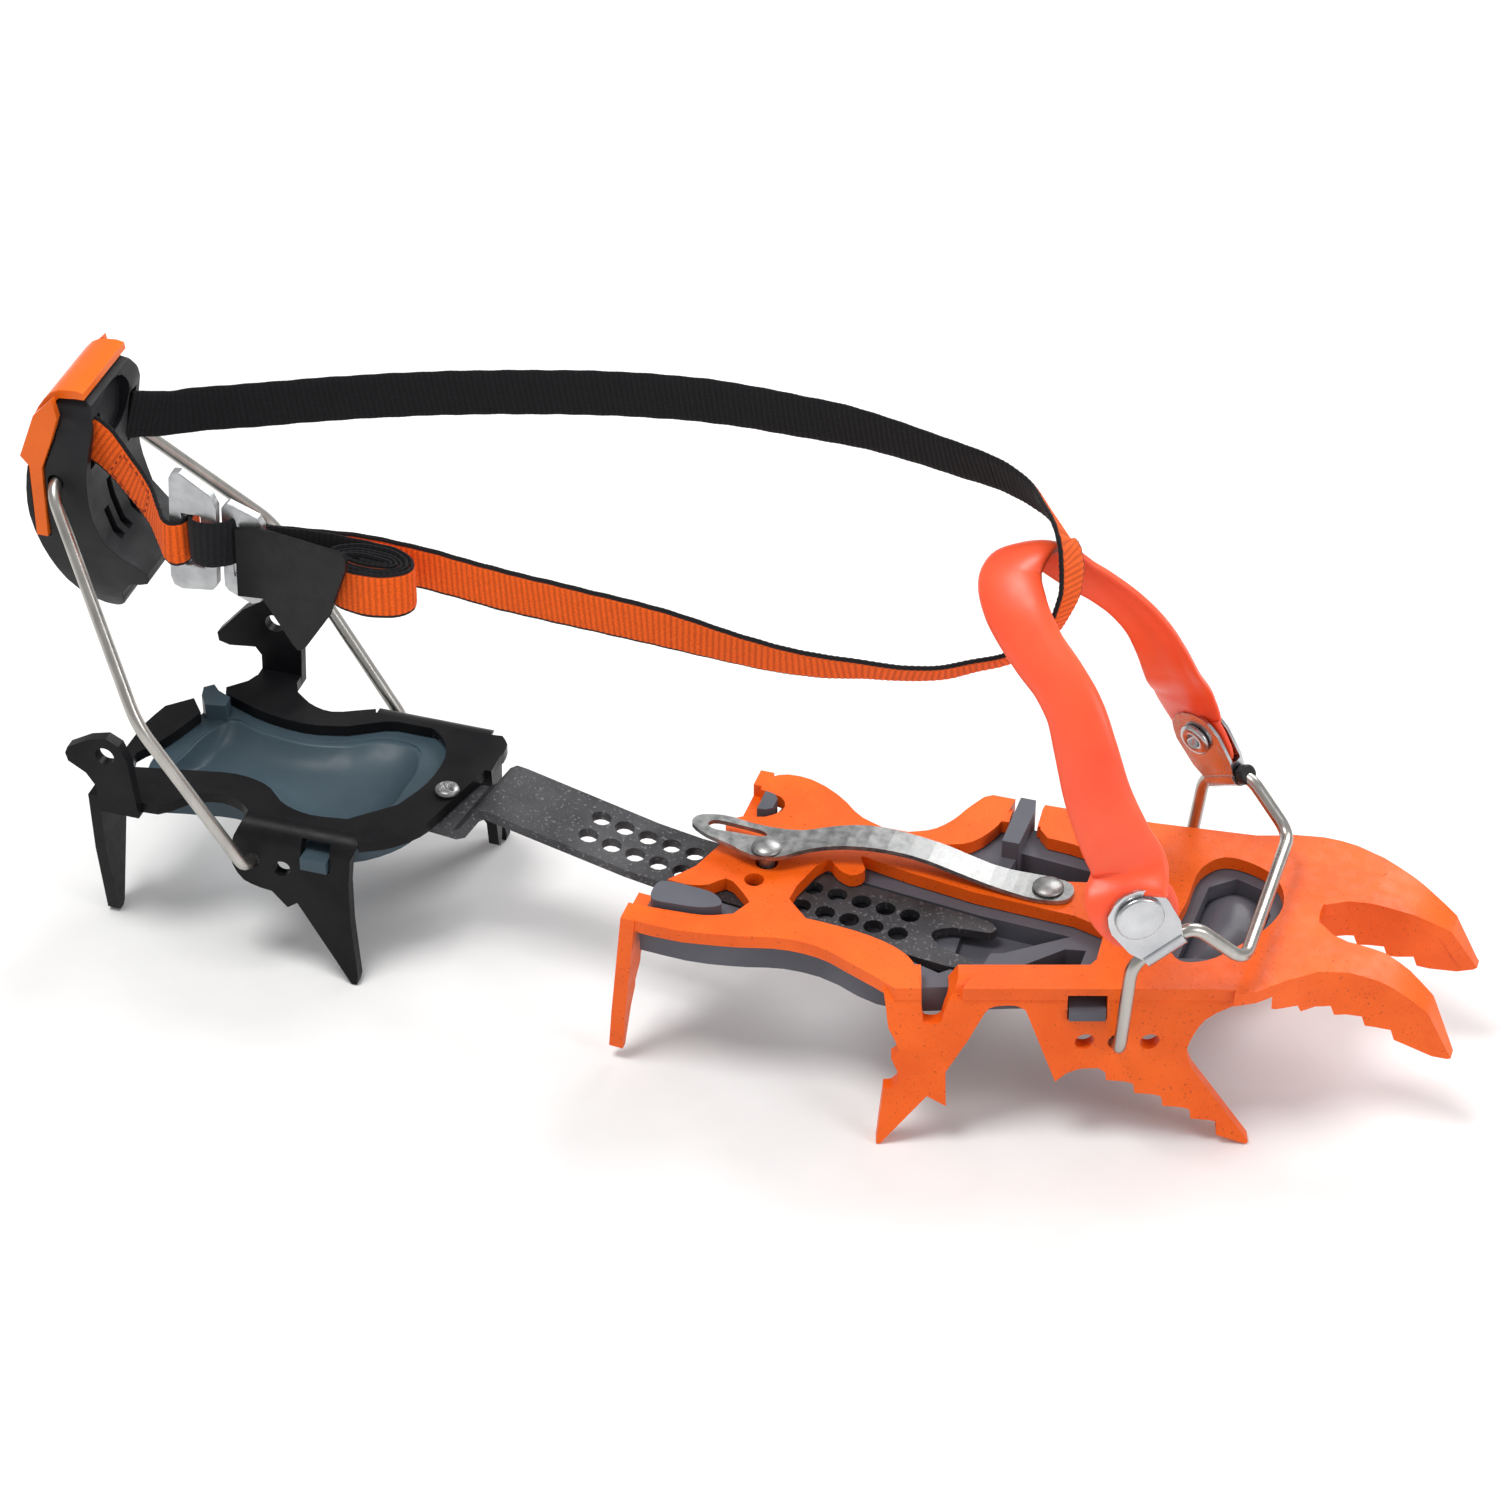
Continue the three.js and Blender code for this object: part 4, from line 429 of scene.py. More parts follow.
def skin(name, rings, material, body=None, lengths=None, arounds=None):
    """A closed surface through rings of points in millimetres of the drawing frame."""
    around = len(rings[0])
    vertices = [(p + DRAWING_ORIGIN) * MM for ring in rings for p in ring]
    faces = []
    uv = []
    for i in range(len(rings) - 1):
        for k in range(around):
            n = (k + 1) % around
            faces.append((i * around + k, i * around + n, (i + 1) * around + n, (i + 1) * around + k))
            if lengths:
                high = arounds[n] if n else 1.0
                near = lengths[i]
                far = lengths[i + 1]
                uv += [(near, arounds[k]), (near, high), (far, high), (far, arounds[k])]
    last = (len(rings) - 1) * around
    faces.append(tuple(reversed(range(around))))
    faces.append(tuple(last + k for k in range(around)))
    if lengths:
        uv += [(lengths[0], 0.0)] * around + [(lengths[-1], 0.0)] * around
    piece = new_piece(name, vertices, faces, material, body, uv if lengths else None)
    turn_outwards(piece)
    return piece


def turn_outwards(piece):
    data = bmesh.new()
    data.from_mesh(piece.data)
    bmesh.ops.recalc_face_normals(data, faces=data.faces)
    data.to_mesh(piece.data)
    data.free()


WEB_SIDES = [-0.5, -0.492, -0.46, -0.36, -0.2, 0.0, 0.2, 0.36, 0.46, 0.492, 0.5]


def rounded_path(points, corner, arc_steps=9):
    """The points of a path with its corners rounded, in millimetres."""
    nodes = [Vector(p) for p in points]
    made = [nodes[0]]
    for before, here, after in zip(nodes, nodes[1:], nodes[2:]):
        into = before - here
        out = after - here
        reach = min(corner, into.length * 0.45, out.length * 0.45)
        a = here + into.normalized() * reach
        b = here + out.normalized() * reach
        for i in range(arc_steps + 1):
            t = i / arc_steps
            made.append(a.lerp(here, t).lerp(here.lerp(b, t), t))
    made.append(nodes[-1])
    return made


def tube(name, points, radius, material, body=None, sides=24):
    """A round tube along the points, with slightly domed ends."""
    rings = []
    up = None
    for i, place in enumerate(points):
        tangent = (points[min(i + 1, len(points) - 1)] - points[max(i - 1, 0)]).normalized()
        if up is None:
            up = tangent.orthogonal().normalized()
        up = (up - tangent * up.dot(tangent)).normalized()
        side = tangent.cross(up)
        sizes = [radius]
        shifts = [0.0]
        if i == 0:
            sizes = [radius * 0.75, radius]
            shifts = [0.0, 0.3]
        if i == len(points) - 1:
            sizes = [radius, radius * 0.75]
            shifts = [-0.3, 0.0]
        for size, shift in zip(sizes, shifts):
            ring = []
            for k in range(sides):
                a = 2 * math.pi * k / sides
                ring.append(place + tangent * shift + up * (size * math.cos(a)) + side * (size * math.sin(a)))
            rings.append(ring)
    return skin(name, rings, material, body)


def lathe(name, profile, centre, axis, material, body=None, sides=48):
    """A solid turned about an axis: profile is (radius, height) pairs in millimetres from the centre."""
    turn = Vector((0, 0, 1)).rotation_difference(Vector(axis).normalized())
    rings = []
    for radius, height in profile:
        ring = []
        for k in range(sides):
            a = 2 * math.pi * k / sides
            local = Vector((radius * math.cos(a), radius * math.sin(a), height))
            ring.append(Vector(centre) + turn @ local)
        rings.append(ring)
    return skin(name, rings, material, body)


def refine(node, material, width_mm, segments=2, limit=32):
    """Gives a CAD node its material and rounded edges."""
    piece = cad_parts[node]
    piece.data.materials.clear()
    piece.data.materials.append(material)
    weld = piece.modifiers.new("weld", "WELD")
    weld.merge_threshold = 0.00002
    flat = piece.modifiers.new("flat_faces", "DECIMATE")
    flat.decimate_type = "DISSOLVE"
    flat.angle_limit = math.radians(0.8)
    bevel = piece.modifiers.new("bevel", "BEVEL")
    bevel.width = width_mm * MM
    bevel.segments = segments
    bevel.limit_method = "ANGLE"
    bevel.angle_limit = math.radians(limit)
    bevel.use_clamp_overlap = True
    piece.data.polygons.foreach_set("use_smooth", [True] * len(piece.data.polygons))
    weighted = piece.modifiers.new("normals", "WEIGHTED_NORMAL")
    weighted.keep_sharp = False
    weighted.weight = 60
    return piece


# Metal and plastic pieces ----------------------------------------------------------------------------

GREY_COLOURS = ((0.085, 0.088, 0.106), (0.112, 0.116, 0.138))
SLATE_COLOURS = ((0.042, 0.068, 0.088), (0.058, 0.09, 0.112))
LEVER_COLOURS = ((0.008, 0.0085, 0.01), (0.014, 0.0145, 0.017))
ADJUSTER_COLOURS = ((0.8, 0.13, 0.01), (0.88, 0.16, 0.015))


def rigid_pieces():
    paint = orange_paint()
    black = black_paint()
    plate = zinc()
    silver = cast_silver()
    grey = plastic("grey_moulded", GREY_COLOURS, (0.34, 0.5))
    slate = plastic("slate_moulded", SLATE_COLOURS, (0.34, 0.5))
    lever = plastic("lever_moulded", LEVER_COLOURS, (0.38, 0.55), 0.03)
    adjuster = plastic("adjuster_moulded", ADJUSTER_COLOURS, (0.24, 0.34))
    refine("front_frame", paint, 0.35)
    refine("rear_frame", black, 0.35)
    refine("link_bar", bar_steel(), 0.22)
    refine("front_antiball_plate", grey, 0.5)
    refine("rear_antiball_plate", slate, 0.5)
    refine("leaf_rivet", plate, 0.15)
    refine("lock_pin", plate, 0.15)
    refine("rear_screw", plate, 0.15)
    refine("clip_near", bright_steel(), 0.3)
    refine("clip_far", bright_steel(), 0.3)
    refine("heel_lever", lever, 0.3)
    refine("lever_adjuster", adjuster, 0.25)
    refine("buckle_ring_rear", silver, 0.3)
    refine("buckle_ring_front", silver, 0.3)
    refine("buckle_tab", black, 0.2)


def leaf_piece():
    """The lock leaf bends between its rivet and its pin, so it is a piece of its own."""
    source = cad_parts["lock_leaf"]
    piece = bpy.data.objects.new("lock_leaf_spring", source.data.copy())
    bpy.context.scene.collection.objects.link(piece)
    data = bmesh.new()
    data.from_mesh(piece.data)
    bmesh.ops.remove_doubles(data, verts=data.verts, dist=0.00002)
    bmesh.ops.dissolve_limit(data, angle_limit=math.radians(0.5), verts=data.verts, edges=data.edges)
    bmesh.ops.triangulate(data, faces=data.faces)
    data.to_mesh(piece.data)
    data.free()
    piece.data.materials.clear()
    piece.data.materials.append(zinc())
    piece.data.polygons.foreach_set("use_smooth", [False] * len(piece.data.polygons))
    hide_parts("lock_leaf")
    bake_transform(piece)


TOE_PIVOT_Z = 24.1
BAIL_A = (42.8, 38.3, 52.5)
BAIL_B = (55.1, 30.6, 61.4)
BAIL_C = (67.4, 25.3, 49.4)
CROSSBAR = (-238.0, -3.4, 120.5)
HEEL_HOLE_Z = 25.9


def mirrored(point):
    return (point[0], -point[1], point[2])


def bail_wires():
    steel = stainless()
    toe_points = [(37.9, -28.1, TOE_PIVOT_Z), (41.1, -38.6, TOE_PIVOT_Z), mirrored(BAIL_A), mirrored(BAIL_B),
                  mirrored(BAIL_C), BAIL_C, BAIL_B, BAIL_A, (39.5, 39.6, TOE_PIVOT_Z),
                  (40.4, 28.6, TOE_PIVOT_Z)]
    toe = tube("toe_bail_wire", rounded_path(toe_points, 4.5), WIRE_RADIUS, steel, "toe_bail")
    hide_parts("toe_bail")
    heel_points = [(-186.3, -32, HEEL_HOLE_Z), (-186.3, -38.6, HEEL_HOLE_Z + 0.4), (-209.7, -44, 70.1),
                   (CROSSBAR[0], -21.9, CROSSBAR[2]), (CROSSBAR[0], 15.1, CROSSBAR[2]), (-208.7, 42, 74.7),
                   (-170.3, 31.6, HEEL_HOLE_Z + 0.4), (-170.3, 24.6, HEEL_HOLE_Z)]
    heel = tube("heel_bail_wire", rounded_path(heel_points, 5.5), WIRE_RADIUS, steel, "heel_bail")
    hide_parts("heel_bail")


CLIP_RIVET = 13.0
CLIP_HALF = 2.3


def clip_plane(side):
    """The middle of the bail's slanted run, and the directions along it, up the arm and outwards."""
    a = Vector((BAIL_A[0], side * BAIL_A[1], BAIL_A[2]))
    b = Vector((BAIL_B[0], side * BAIL_B[1], BAIL_B[2]))
    along = (b - a).normalized()
    rise = Vector((-0.47, -0.235, 0.852)) if side < 0 else Vector((-0.35, -0.02, 0.93))
    up = (rise - along * rise.dot(along)).normalized()
    return (a + b) / 2, along, up, along.cross(up)


def clip_rivets():
    steel = bright_steel()
    for name, side in (("near", -1), ("far", 1)):
        middle, _, up, out = clip_plane(side)
        centre = middle + up * CLIP_RIVET
        outwards = out if out.y * side > 0 else -out
        shown = 5.9 if side < 0 else 4.3
        hidden = 4.3 if side < 0 else 5.9
        visible = outwards if side < 0 else -outwards
        reach = CLIP_HALF + 0.2
        cap = [(0.01, -reach), (2.0, -reach), (2.0, reach), (shown - 0.3, reach), (shown, reach + 0.3),
               (shown, reach + 0.8), (shown - 0.35, reach + 1.15)]
        if side < 0:
            cap += [(shown - 0.9, reach + 1.2), (shown - 1.5, reach + 1.05)]
            cap += [(shown * 0.4, reach + 1.0), (0.01, reach + 1.0)]
        else:
            cap += [(shown - 1.0, reach + 1.5), (2.3, reach + 1.5), (1.8, reach + 1.1)]
            cap += [(1.5, reach - 0.6), (0.01, reach - 0.6)]
        head = lathe(f"clip_rivet_{name}_head", cap, centre, visible, steel, "toe_bail")
        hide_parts(f"clip_rivet_{name}")
        back = [(0.01, reach), (hidden - 0.3, reach), (hidden, reach + 0.3), (hidden - 0.2, reach + 0.9),
                (hidden * 0.5, reach + 1.1), (0.01, reach + 1.1)]
        tail = lathe(f"clip_rivet_{name}_tail", back, centre, -visible, steel, "toe_bail")


# Soft pieces -----------------------------------------------------------------------------------------


def harness():
    """The flexible band over the toe: convex on its outside, with rounded edges and a ridge inside its
    far arm."""

    def on_clip(side, rise, width, depth=2.2):
        middle, along, up, _ = clip_plane(side)
        return (middle + up * rise, along, width, depth)

    stations = [
        on_clip(-1, 3.9, 9, 1.6),
        on_clip(-1, 5, 14.4),
        on_clip(-1, 8, 18.4),
        on_clip(-1, CLIP_RIVET, 20.4),
        on_clip(-1, 18, 19.8, 2.6),
        ((40, -34.6, 77.5), (0.86, 0.28, 0.42), 18.4, 2.9),
        ((36, -34.4, 85.7), (0.86, 0.28, 0.42), 17.2, 3.0),
        ((31.1, -33, 96), (0.88, 0.25, 0.4), 16, 3.2),
        ((27.1, -31, 107.4), (0.9, 0.2, 0.38), 15, 3.4),
        ((23.5, -28.4, 115.7), (0.9, 0.18, 0.38), 14, 3.4),
        ((18.6, -25.4, 121.4), (0.9, 0.15, 0.4), 13.6, 3.4),
        ((12.2, -21.6, 126.2), (0.9, 0.1, 0.4), 14, 3.4),
        ((5.2, -15.4, 132.6), (0.93, 0.06, 0.3), 15.4, 3.4),
        ((2, -8.6, 136.5), (0.95, 0, 0.25), 15.6, 3.4),
        ((4.1, -2, 138.6), (0.92, -0.04, 0.36), 15, 3.2),
        ((8.2, 4.6, 134.5), (0.9, 0, 0.34), 12.6, 3),
        ((15, 7.6, 128.6), (0.8, -0.05, 0.5), 11.4, 2.9),
        ((20.2, 9, 125), (0.76, -0.07, 0.57), 11, 2.8),
        ((25.7, 11.4, 119.5), (0.76, -0.1, 0.57), 11, 2.8),
        ((30.3, 14.4, 112.3), (0.76, -0.12, 0.57), 11.5, 2.8),
        ((33.4, 18.6, 103), (0.76, -0.18, 0.57), 12.8, 2.8),
        ((35.6, 24.6, 91.6), (0.75, -0.28, 0.55), 14.6, 2.7),
        ((37.4, 31.6, 81.4), (0.73, -0.4, 0.54), 16.4, 2.4),
        on_clip(1, 18, 17.6, 2.2),
        on_clip(1, CLIP_RIVET, 17),
        on_clip(1, 8, 15.4),
        on_clip(1, 5, 12.4),
        on_clip(1, 3.9, 8, 1.6),
    ]
    path = samples(stations, 0.9)
    total = path[-1][0]
    rings = []
    around = 40
    for run, place, across, normal, width, depth in path:
        t = run / total
        free = min(1.0, max(0.0, (t - 0.1) / 0.08)) * min(1.0, max(0.0, (0.9 - t) / 0.08))
        cup = 1.3 * free
        ridge = 0.9 * min(1.0, max(0.0, (t - 0.62) / 0.08)) * min(1.0, max(0.0, (0.97 - t) / 0.06))
        ring = []
        for k in range(around):
            a = 2 * math.pi * k / around
            c = math.cos(a)
            s = math.sin(a)
            side = 0.5 * math.copysign(abs(c) ** 0.55, c)
            lift = 0.5 * depth * math.copysign(abs(s) ** 0.75, s)
            crown = -cup * (1 - (2 * side) ** 2)
            rib = ridge * math.exp(-((side - 0.12) / 0.085) ** 2) if s > 0 else 0.0
            ring.append(place + across * (side * width) + normal * (lift + crown + rib))
        rings.append(ring)
    piece = skin("toe_harness_band", rings, harness_rubber(), "toe_bail")
    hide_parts("toe_harness")


def strip(points, width=WEB_WIDTH, depth=WEB_THICKNESS):
    return [(p, a, width, depth) for p, a in points]


FAR_RUN = strip([
    ((-229.4, 6.4, 126.2), (0, 0, 1)), ((-226.4, 10.4, 124.6), (0, 0, 1)), ((-222.6, 14.4, 123), (0, 0, 1)),
    ((-216.3, 18.8, 122.7), (0, 0, 1)), ((-204.9, 22.5, 123.7), (0, 0, 1)),
    ((-181.6, 28, 127.1), (0, -0.02, 1)),
    ((-157.6, 31.6, 131), (0, -0.02, 1)), ((-133.3, 33.6, 134.9), (0, -0.02, 1)),
    ((-108.8, 34, 138.9), (0, -0.02, 1)),
    ((-84, 32.6, 142.4), (0, -0.05, 1)), ((-58.9, 29, 144.9), (0, -0.12, 0.99)),
    ((-46.4, 26.6, 146.2), (0, -0.18, 0.98)),
    ((-33.8, 23.6, 146.7), (0, -0.26, 0.97)), ((-21.1, 20, 147), (0, -0.3, 0.95)),
    ((-8.4, 15.2, 148), (0, -0.37, 0.93)),
    ((-1.7, 11.8, 148), (-0.15, -0.35, 0.92)), ((4.4, 7.8, 147.3), (-0.32, -0.3, 0.9)),
    ((8.6, 2.8, 146.9), (-0.41, -0.28, 0.87)), ((12.9, -2.7, 145.7), (-0.4, -0.32, 0.85)),
    ((15.4, -4.6, 140.2), (-0.3, -0.42, 0.85)), ((16, -6.6, 134.4), (-0.12, -0.52, 0.84)),
    ((15.2, -8.2, 129.8), (0, -0.57, 0.82)), ((13.3, -9.8, 125.4), (0.14, -0.6, 0.79)),
    ((9, -11, 120), (0.2, -0.64, 0.74)), ((2.8, -13, 115.6), (0.12, -0.68, 0.7)),
    ((-4.2, -15.8, 114), (0, -0.72, 0.69)),
    ((-11.1, -18.8, 112.6), (0, -0.69, 0.72)), ((-20.2, -22.2, 112.8), (0, -0.66, 0.75)),
    ((-29.5, -24.6, 113.6), (0, -0.59, 0.81)), ((-38.9, -26, 113.5), (0, -0.5, 0.87)),
    ((-48.5, -27, 114), (0, -0.42, 0.91)), ((-58.2, -27.6, 115.1), (0, -0.34, 0.94)),
    ((-78.1, -27.4, 117.1), (0, -0.14, 0.99)), ((-98.9, -25.4, 116.8), (0, -0.09, 1)),
    ((-120.3, -22.5, 115.8), (0, -0.05, 1)), ((-142, -19.3, 115.5), (0, -0.05, 1)),
    ((-158, -18.8, 115.4), (0, -0.03, 1)),
    ((-172, -20.4, 115), (0, 0, 1)), ((-186, -22.2, 115), (0, 0, 1)),
])


def web_rings(path):
    """The rings of ribbed webbing along a sampled path. The outer face is away from the normal."""
    outer = WEB_SIDES[:-1]
    inner = list(reversed(WEB_SIDES[1:]))
    rings = []
    for run, place, across, normal, width, depth in path:
        rib = 1 + RIB_DEPTH * math.sin(2 * math.pi * run / RIB_PITCH)
        ripple = 0.12 * math.sin(run * 0.83) + 0.08 * math.sin(run * 0.37 + 1.1)
        ring = []
        for face, sides in ((-1, outer), (1, inner)):
            for side in sides:
                swell = math.sqrt(max(0.0, 1 - abs(2 * side) ** 7))
                offset = face * 0.5 * depth * swell * rib
                edge = side * (width + ripple * abs(side) * 2)
                ring.append(place + across * edge + normal * offset)
        rings.append(ring)
    return rings


WEB_AROUND = [0.5 * (side + 0.5) for side in WEB_SIDES[:-1]]
WEB_AROUND += [0.5 + 0.5 * (0.5 - side) for side in reversed(WEB_SIDES[1:])]
WEB_STEP = 0.375


def web_piece(name, path, material, body=None):
    lengths = [row[0] for row in path]
    return skin(name, web_rings(path), material, body, lengths, WEB_AROUND)


def nearest(path, point):
    goal = Vector(point)
    return min(range(len(path)), key=lambda i: (path[i][1] - goal).length)


# Where the strap is cut, and the two bodies each length passes between.
STRAP_LENGTHS = [
    ("strap_far_lever", (-204.9, 22.5, 123.7), ("heel_lever", "heel_bail"),
     (-227, 9, 125), (-207, 22, 123.5)),
    ("strap_far_heel", (-150, 32.4, 132.2), ("heel_bail", "rear"), (-202, 23, 124), (-152, 32.2, 132)),
    ("strap_far_middle", (-90, 33, 141.5), ("rear", "front"), (-148, 32.6, 132.6), (-92, 33, 141.2)),
    ("strap_far_toe", (-8.4, 15.2, 148), ("front", "toe_bail"), (-88, 32.8, 141.8), (-10, 16, 147.9)),
    ("strap_toe_turn", (-4.2, -15.8, 114), ("toe_bail", None), None, None),
    ("strap_near_toe", (-75, -27.4, 116.8), ("toe_bail", "front"), (-6, -17, 113.6), (-73, -27.4, 116.6)),
    ("strap_near_middle", (-118, -22.8, 115.9), ("front", "rear"), (-77, -27.3, 117), (-116, -23, 116)),
    ("strap_near_heel", (-186, -22.2, 115), ("rear", "heel_bail"),
     (-120, -22.5, 115.8), (-165, -19.5, 115.2)),
]


def strap():
    """The strap is one length of webbing, cut where it passes from one body to the next."""
    cloth = webbing("strap_webbing", (0.93, 0.125, 0.008), (0.01, 0.01, 0.012), (0.011, 0.0115, 0.0135))
    path = samples(FAR_RUN, WEB_STEP)
    first = 0
    for name, cut, (body_a, body_b), start, end in STRAP_LENGTHS:
        last = nearest(path, cut)
        if last <= first + 1:
            last = len(path) - 1
        piece = web_piece(name, path[first:last + 1], cloth, None if body_b else body_a)
        if body_b:
            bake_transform(piece)
        first = last
    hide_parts("strap_far_run")
    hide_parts("strap_toe_loop")
    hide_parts("strap_near_run")
    return cloth


LEVER_TAB = strip([
    ((-231, -14.4, 133.6), (0, 0, -1)), ((-228.4, -14.2, 132), (0, 0, -1)),
    ((-225, -14.4, 129.6), (0, 0, -1)),
    ((-219, -16.6, 125.2), (0, 0, -1)), ((-212, -20.8, 120.8), (0, 0, -1)),
    ((-207.4, -25.6, 118), (0, 0, -1)),
    ((-204.4, -29.2, 117.2), (0, 0, -1)), ((-202.2, -30.1, 117), (0, 0, -1)),
    ((-200.2, -29, 117), (0, 0, -1)),
    ((-199.4, -26.6, 117), (0, 0, -1)), ((-199, -24.2, 117), (0, 0, -1)),
], depth=1.4)
FOLD = strip([
    ((-197.8, -24.2, 118.4), (0, 0, 1)), ((-198, -27, 118.4), (0, 0, 1)), ((-197, -29.4, 118.4), (0, 0, 1)),
    ((-194.6, -30.2, 118.4), (0, 0, 1)), ((-192, -29.8, 118.3), (0, 0, 1)),
    ((-190, -28.6, 118.2), (0, 0, 1)),
    ((-188.2, -26.6, 118), (0, 0, 1)), ((-187, -24.6, 118), (0, 0, 1)),
], depth=1.4)
STITCH_LENGTH = 1.5
STITCH_GAP = 0.9
STITCH_RADIUS = 0.24


def stitches(name, path, run_low, run_high, side, material):
    """A box of stitching on the outer face of a strip, between two distances along it."""
    rows = []
    span = run_high - run_low
    for edge in (-side, side):
        count = int(span / (STITCH_LENGTH + STITCH_GAP))
        for i in range(count):
            s = run_low + (i + 0.5) * span / count
            rows.append((s - STITCH_LENGTH / 2, edge, s + STITCH_LENGTH / 2, edge))
    for s in (run_low, run_high):
        count = int(2 * side / (STITCH_LENGTH + STITCH_GAP))
        for i in range(count):
            a = -side + (i + 0.5) * 2 * side / count
            rows.append((s, a - STITCH_LENGTH / 2, s, a + STITCH_LENGTH / 2))

    def on_face(run, edge):
        i = min(range(len(path)), key=lambda k: abs(path[k][0] - run))
        _, place, across, normal, _, depth = path[i]
        return place + across * edge - normal * (depth / 2 + 0.02), normal

    vertices = []
    faces = []
    for run_a, edge_a, run_b, edge_b in rows:
        a, normal = on_face(run_a, edge_a)
        b, _ = on_face(run_b, edge_b)
        tangent = (b - a).normalized()
        across = tangent.cross(normal).normalized()
        base = len(vertices)
        for share, size in ((0.0, 0.4), (0.12, 0.9), (0.5, 1.15), (0.88, 0.9), (1.0, 0.4)):
            middle = a.lerp(b, share)
            for k in range(6):
                angle = math.pi * k / 3
                shift = across * math.cos(angle) + normal * math.sin(angle)
                vertices.append((middle + shift * (size * STITCH_RADIUS) + DRAWING_ORIGIN) * MM)
        for i in range(4):
            for k in range(6):
                n = (k + 1) % 6
                low = base + i * 6
                faces.append((low + k, low + n, low + 6 + n, low + 6 + k))
        faces.append(tuple(base + k for k in reversed(range(6))))
        faces.append(tuple(base + 24 + k for k in range(6)))
    piece = new_piece(name, vertices, faces, material)
    turn_outwards(piece)
    return piece


def lever_tab(cloth):
    """The short sewn tab from the lever to the first ring, with its box of stitching, and the folded black
    length between the two rings."""
    path = samples(LEVER_TAB, WEB_STEP)
    tab = web_piece("strap_short_tab", path, cloth)
    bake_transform(tab)
    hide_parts("strap_lever_tab")
    thread = plastic("dark_thread", ((0.2, 0.03, 0.01), (0.26, 0.04, 0.012)), (0.7, 0.85))
    sewn = stitches("strap_short_tab_stitching", path, 11, 24.5, 4.4, thread)
    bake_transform(sewn)
    fold = web_piece("strap_black_fold", samples(FOLD, WEB_STEP), cloth, "heel_bail")
    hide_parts("strap_fold")


COIL = Vector((-151.0, -29.4, 116.4))
COIL_HALF = (11.25, 6.65)
COIL_TURNS = 4.6
COIL_PITCH = 1.32


def tail_coil(cloth):
    """The spare webbing, rolled up into an oval roll that is pushed in behind the buckle's tab."""
    lead = [(-179.2, -25.0, 117.2), (-173, -24.0, 117.1), (-166, -23.2, 117), (-158.5, -22.9, 116.7)]
    points = [Vector(p) for p in lead]
    steps = 16
    for i in range(int(COIL_TURNS * steps) + 1):
        u = i / steps
        angle = math.pi / 2 - 2 * math.pi * u
        drop = 0.25 * math.sin(2.1 * u)
        points.append(COIL + Vector(((COIL_HALF[0] - COIL_PITCH * u) * math.cos(angle),
                                     (COIL_HALF[1] - COIL_PITCH * u) * math.sin(angle), drop)))
    stations = [(p, (0, 0, 1), WEB_WIDTH, 1.15) for p in points]
    path = samples(stations, WEB_STEP)
    piece = web_piece("strap_tail_roll", path, cloth, "heel_bail")
    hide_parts("strap_tail_coil")


# Dished plastic and small parts ----------------------------------------------------------------------


def dish(name, outline, spine, rim, middle, power, material, body):
    """A smooth bowl or dome inside an outline: its height goes from rim at the outline to middle along the
    spine."""
    edge = [Vector((x, y, 0)) for x, y in outline]
    closed = edge + [edge[0]]
    count = 120
    loop = [curve_point([closed[-2]] + closed + [closed[1]], (1 + i * (len(edge)) / count) / (len(edge) + 2))
            for i in range(count)]
    backbone = [Vector((x, y, 0)) for x, y in spine]

    def to_spine(point):
        best = None
        for a, b in zip(backbone, backbone[1:]):
            d = b - a
            t = min(1.0, max(0.0, (point - a).dot(d) / d.length_squared))
            here = a + d * t
            if best is None or (here - point).length < (best - point).length:
                best = here
        return best

    rows = 14
    rings = []
    bottom = min(rim, middle) - 0.25
    rings.append([p + Vector((0, 0, bottom)) for p in loop])
    for j in range(rows + 1):
        share = j / rows * 0.96
        lift = rim + (middle - rim) * (1 - (1 - share) ** power)
        rings.append([p.lerp(to_spine(p), share) + Vector((0, 0, lift)) for p in loop])
    piece = skin(name, rings, material, body)
    return piece


def dished_plastic():
    slate = plastic("slate_bowl", SLATE_COLOURS, (0.32, 0.46))
    bowl = dish(
        "rear_plate_bowl",
        [(-217, -15), (-209, -14.4), (-197, -12), (-188, -14), (-181, -19.6), (-173, -21.6),
         (-164, -20.4), (-157, -12),
         (-156, -2), (-156, 7), (-159.4, 14), (-169, 14.6), (-178.4, 9.6), (-188, 7.4), (-201, 8.6),
         (-210, 11), (-214, 4),
         (-216, -6)],
        [(-211, -2), (-200, -1.5), (-188, -3.4), (-178, -5.6), (-167, -4)],
        32.6, 27.0, 2.4, slate, "rear",
    )
    grey = plastic("grey_dome", GREY_COLOURS, (0.28, 0.42))
    dome = dish(
        "front_plate_dome",
        [(49, -13), (60, -10), (66.4, 2), (67, 10), (63, 19), (56, 21.4), (50, 16), (48.6, 2)],
        [(55, -4), (58, 4), (57.6, 12)],
        30.3, 34.6, 2.0, grey, "front",
    )


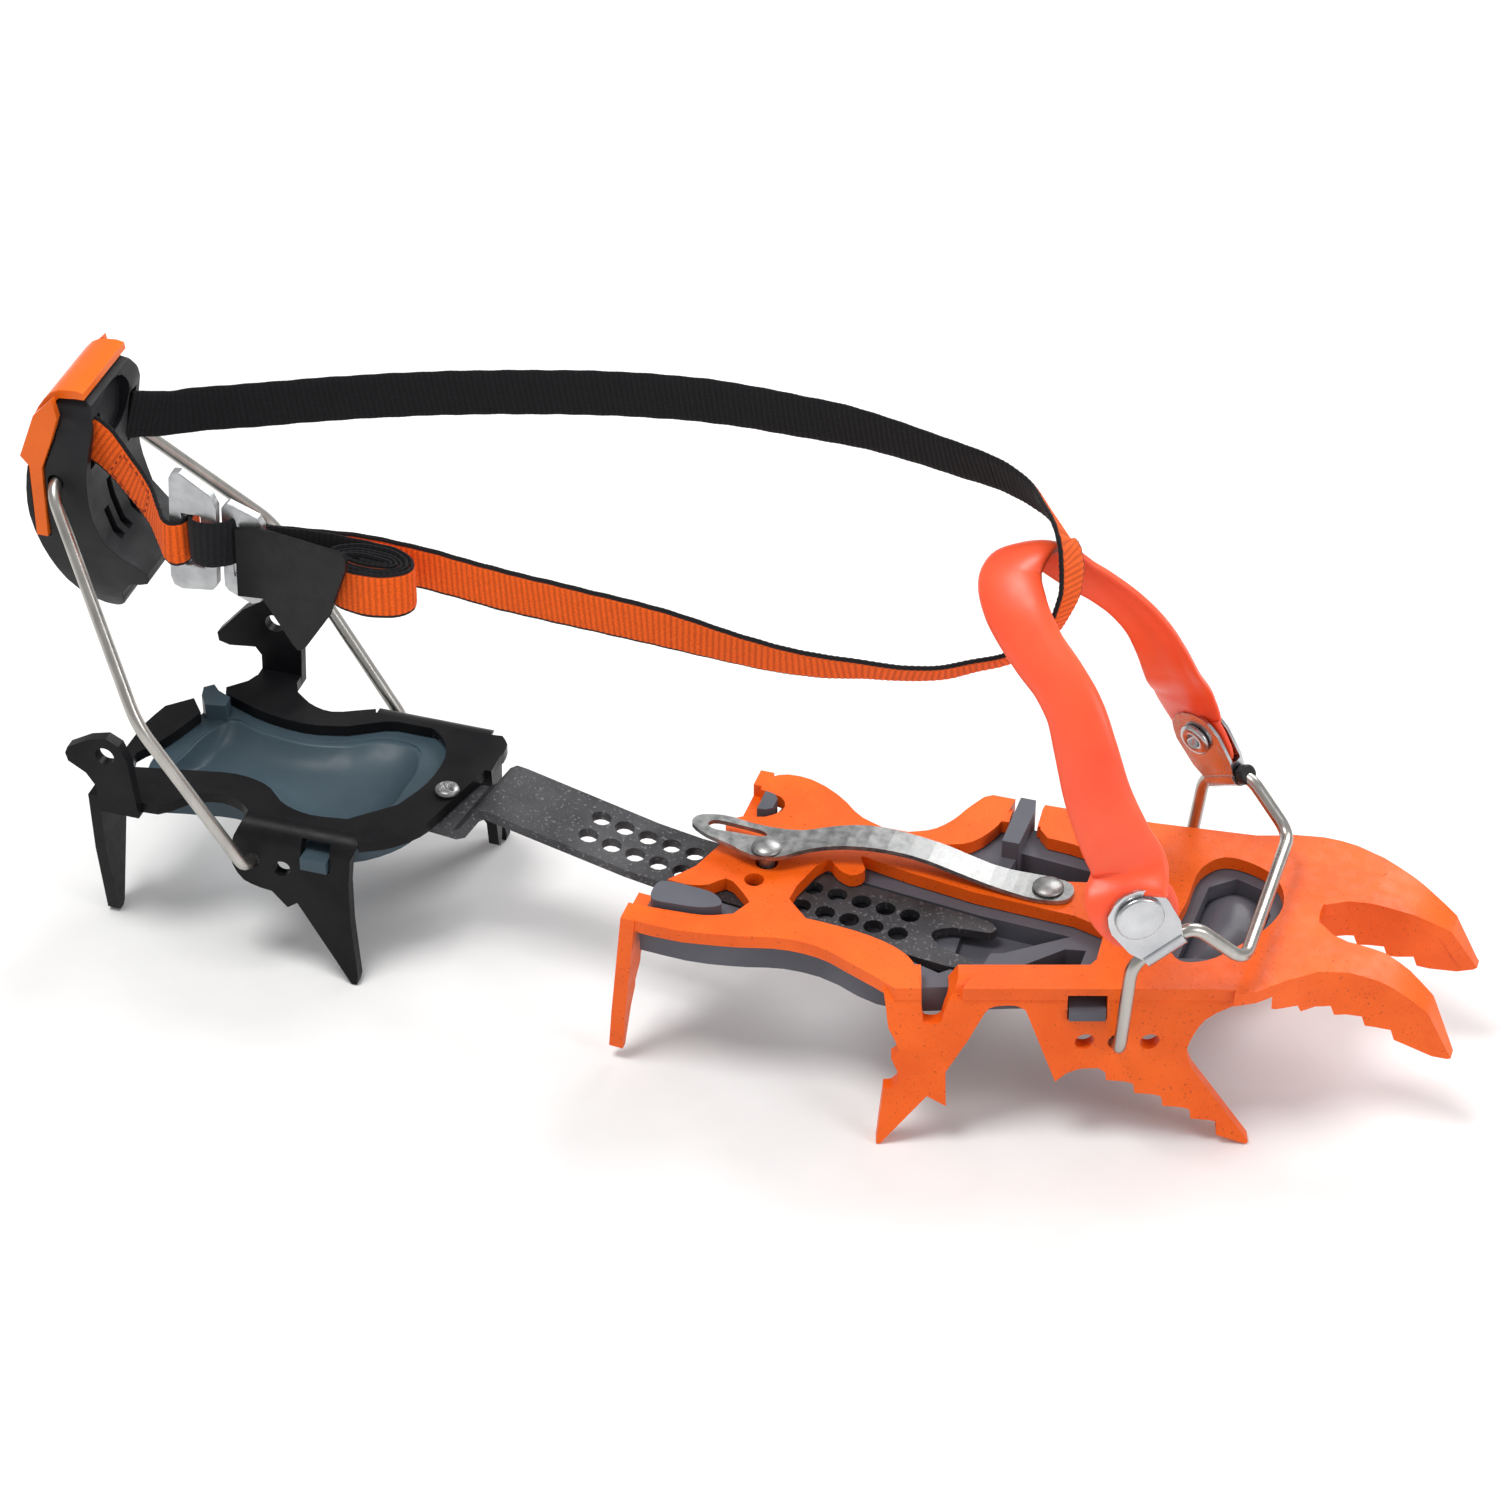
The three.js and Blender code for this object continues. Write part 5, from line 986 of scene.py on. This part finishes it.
def screw_head():
    """A low domed head with a cross recess."""
    x, y = -143.74, -5.39
    base = 36.35
    radius = 3.2
    sides = 96
    foot = Vector((x, y, base - 3.4))
    rings = [[foot + Vector((1.9 * math.cos(a), 1.9 * math.sin(a), 0)) for a in turns(sides)]]
    profile = [(1.9, 0.0), (radius, 0.0), (radius, 0.35), (3.0, 0.8), (2.7, 1.0), (2.4, 1.15), (2.2, 1.2)]
    profile += [(2.0, 1.28), (1.7, 1.3), (1.3, 1.3), (0.9, 1.3), (0.6, 1.3), (0.3, 1.3), (0.02, 1.3)]
    for size, height in profile:
        ring = []
        for a in turns(sides):
            u = size * math.cos(a + 0.5)
            v = size * math.sin(a + 0.5)
            inside = min(abs(u), abs(v)) < 0.42 and size < 2.2
            top = base + height - (0.75 if inside else 0)
            ring.append(Vector((x + size * math.cos(a), y + size * math.sin(a), top)))
        rings.append(ring)
    head = skin("rear_screw_head", rings, zinc(), "rear")
    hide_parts("rear_screw")


def turns(sides):
    return [2 * math.pi * k / sides for k in range(sides)]


def bail_bush():
    """The small black sleeve on the toe bail beside the far clip."""
    middle, along, _, _ = clip_plane(1)
    black = plastic("bush_moulded", ((0.012, 0.012, 0.013), (0.02, 0.02, 0.022)), (0.4, 0.55))
    points = [middle + along * (6.3 + 0.6 * i) for i in range(5)]
    bush = tube("bail_bush", points, WIRE_RADIUS + 0.9, black, "toe_bail")


add_camera()
add_world()
add_floor()
middle_of_part = (0.0, 0.0, 0.07)
add_light("key", (-0.3, -0.25, 1.3), middle_of_part, 0.5, 11.0, (1.0, 0.99, 0.97))
add_light("back", (0.3, 0.9, 0.85), middle_of_part, 0.7, 8.0)
add_light("side", (0.95, -0.3, 0.5), middle_of_part, 0.5, 3.0, (0.97, 0.98, 1.0))

rigid_pieces()
leaf_piece()
bail_wires()
clip_rivets()
harness()
strap_cloth = strap()
lever_tab(strap_cloth)
tail_coil(strap_cloth)
dished_plastic()
screw_head()
bail_bush()

bpy.context.view_layer.update()
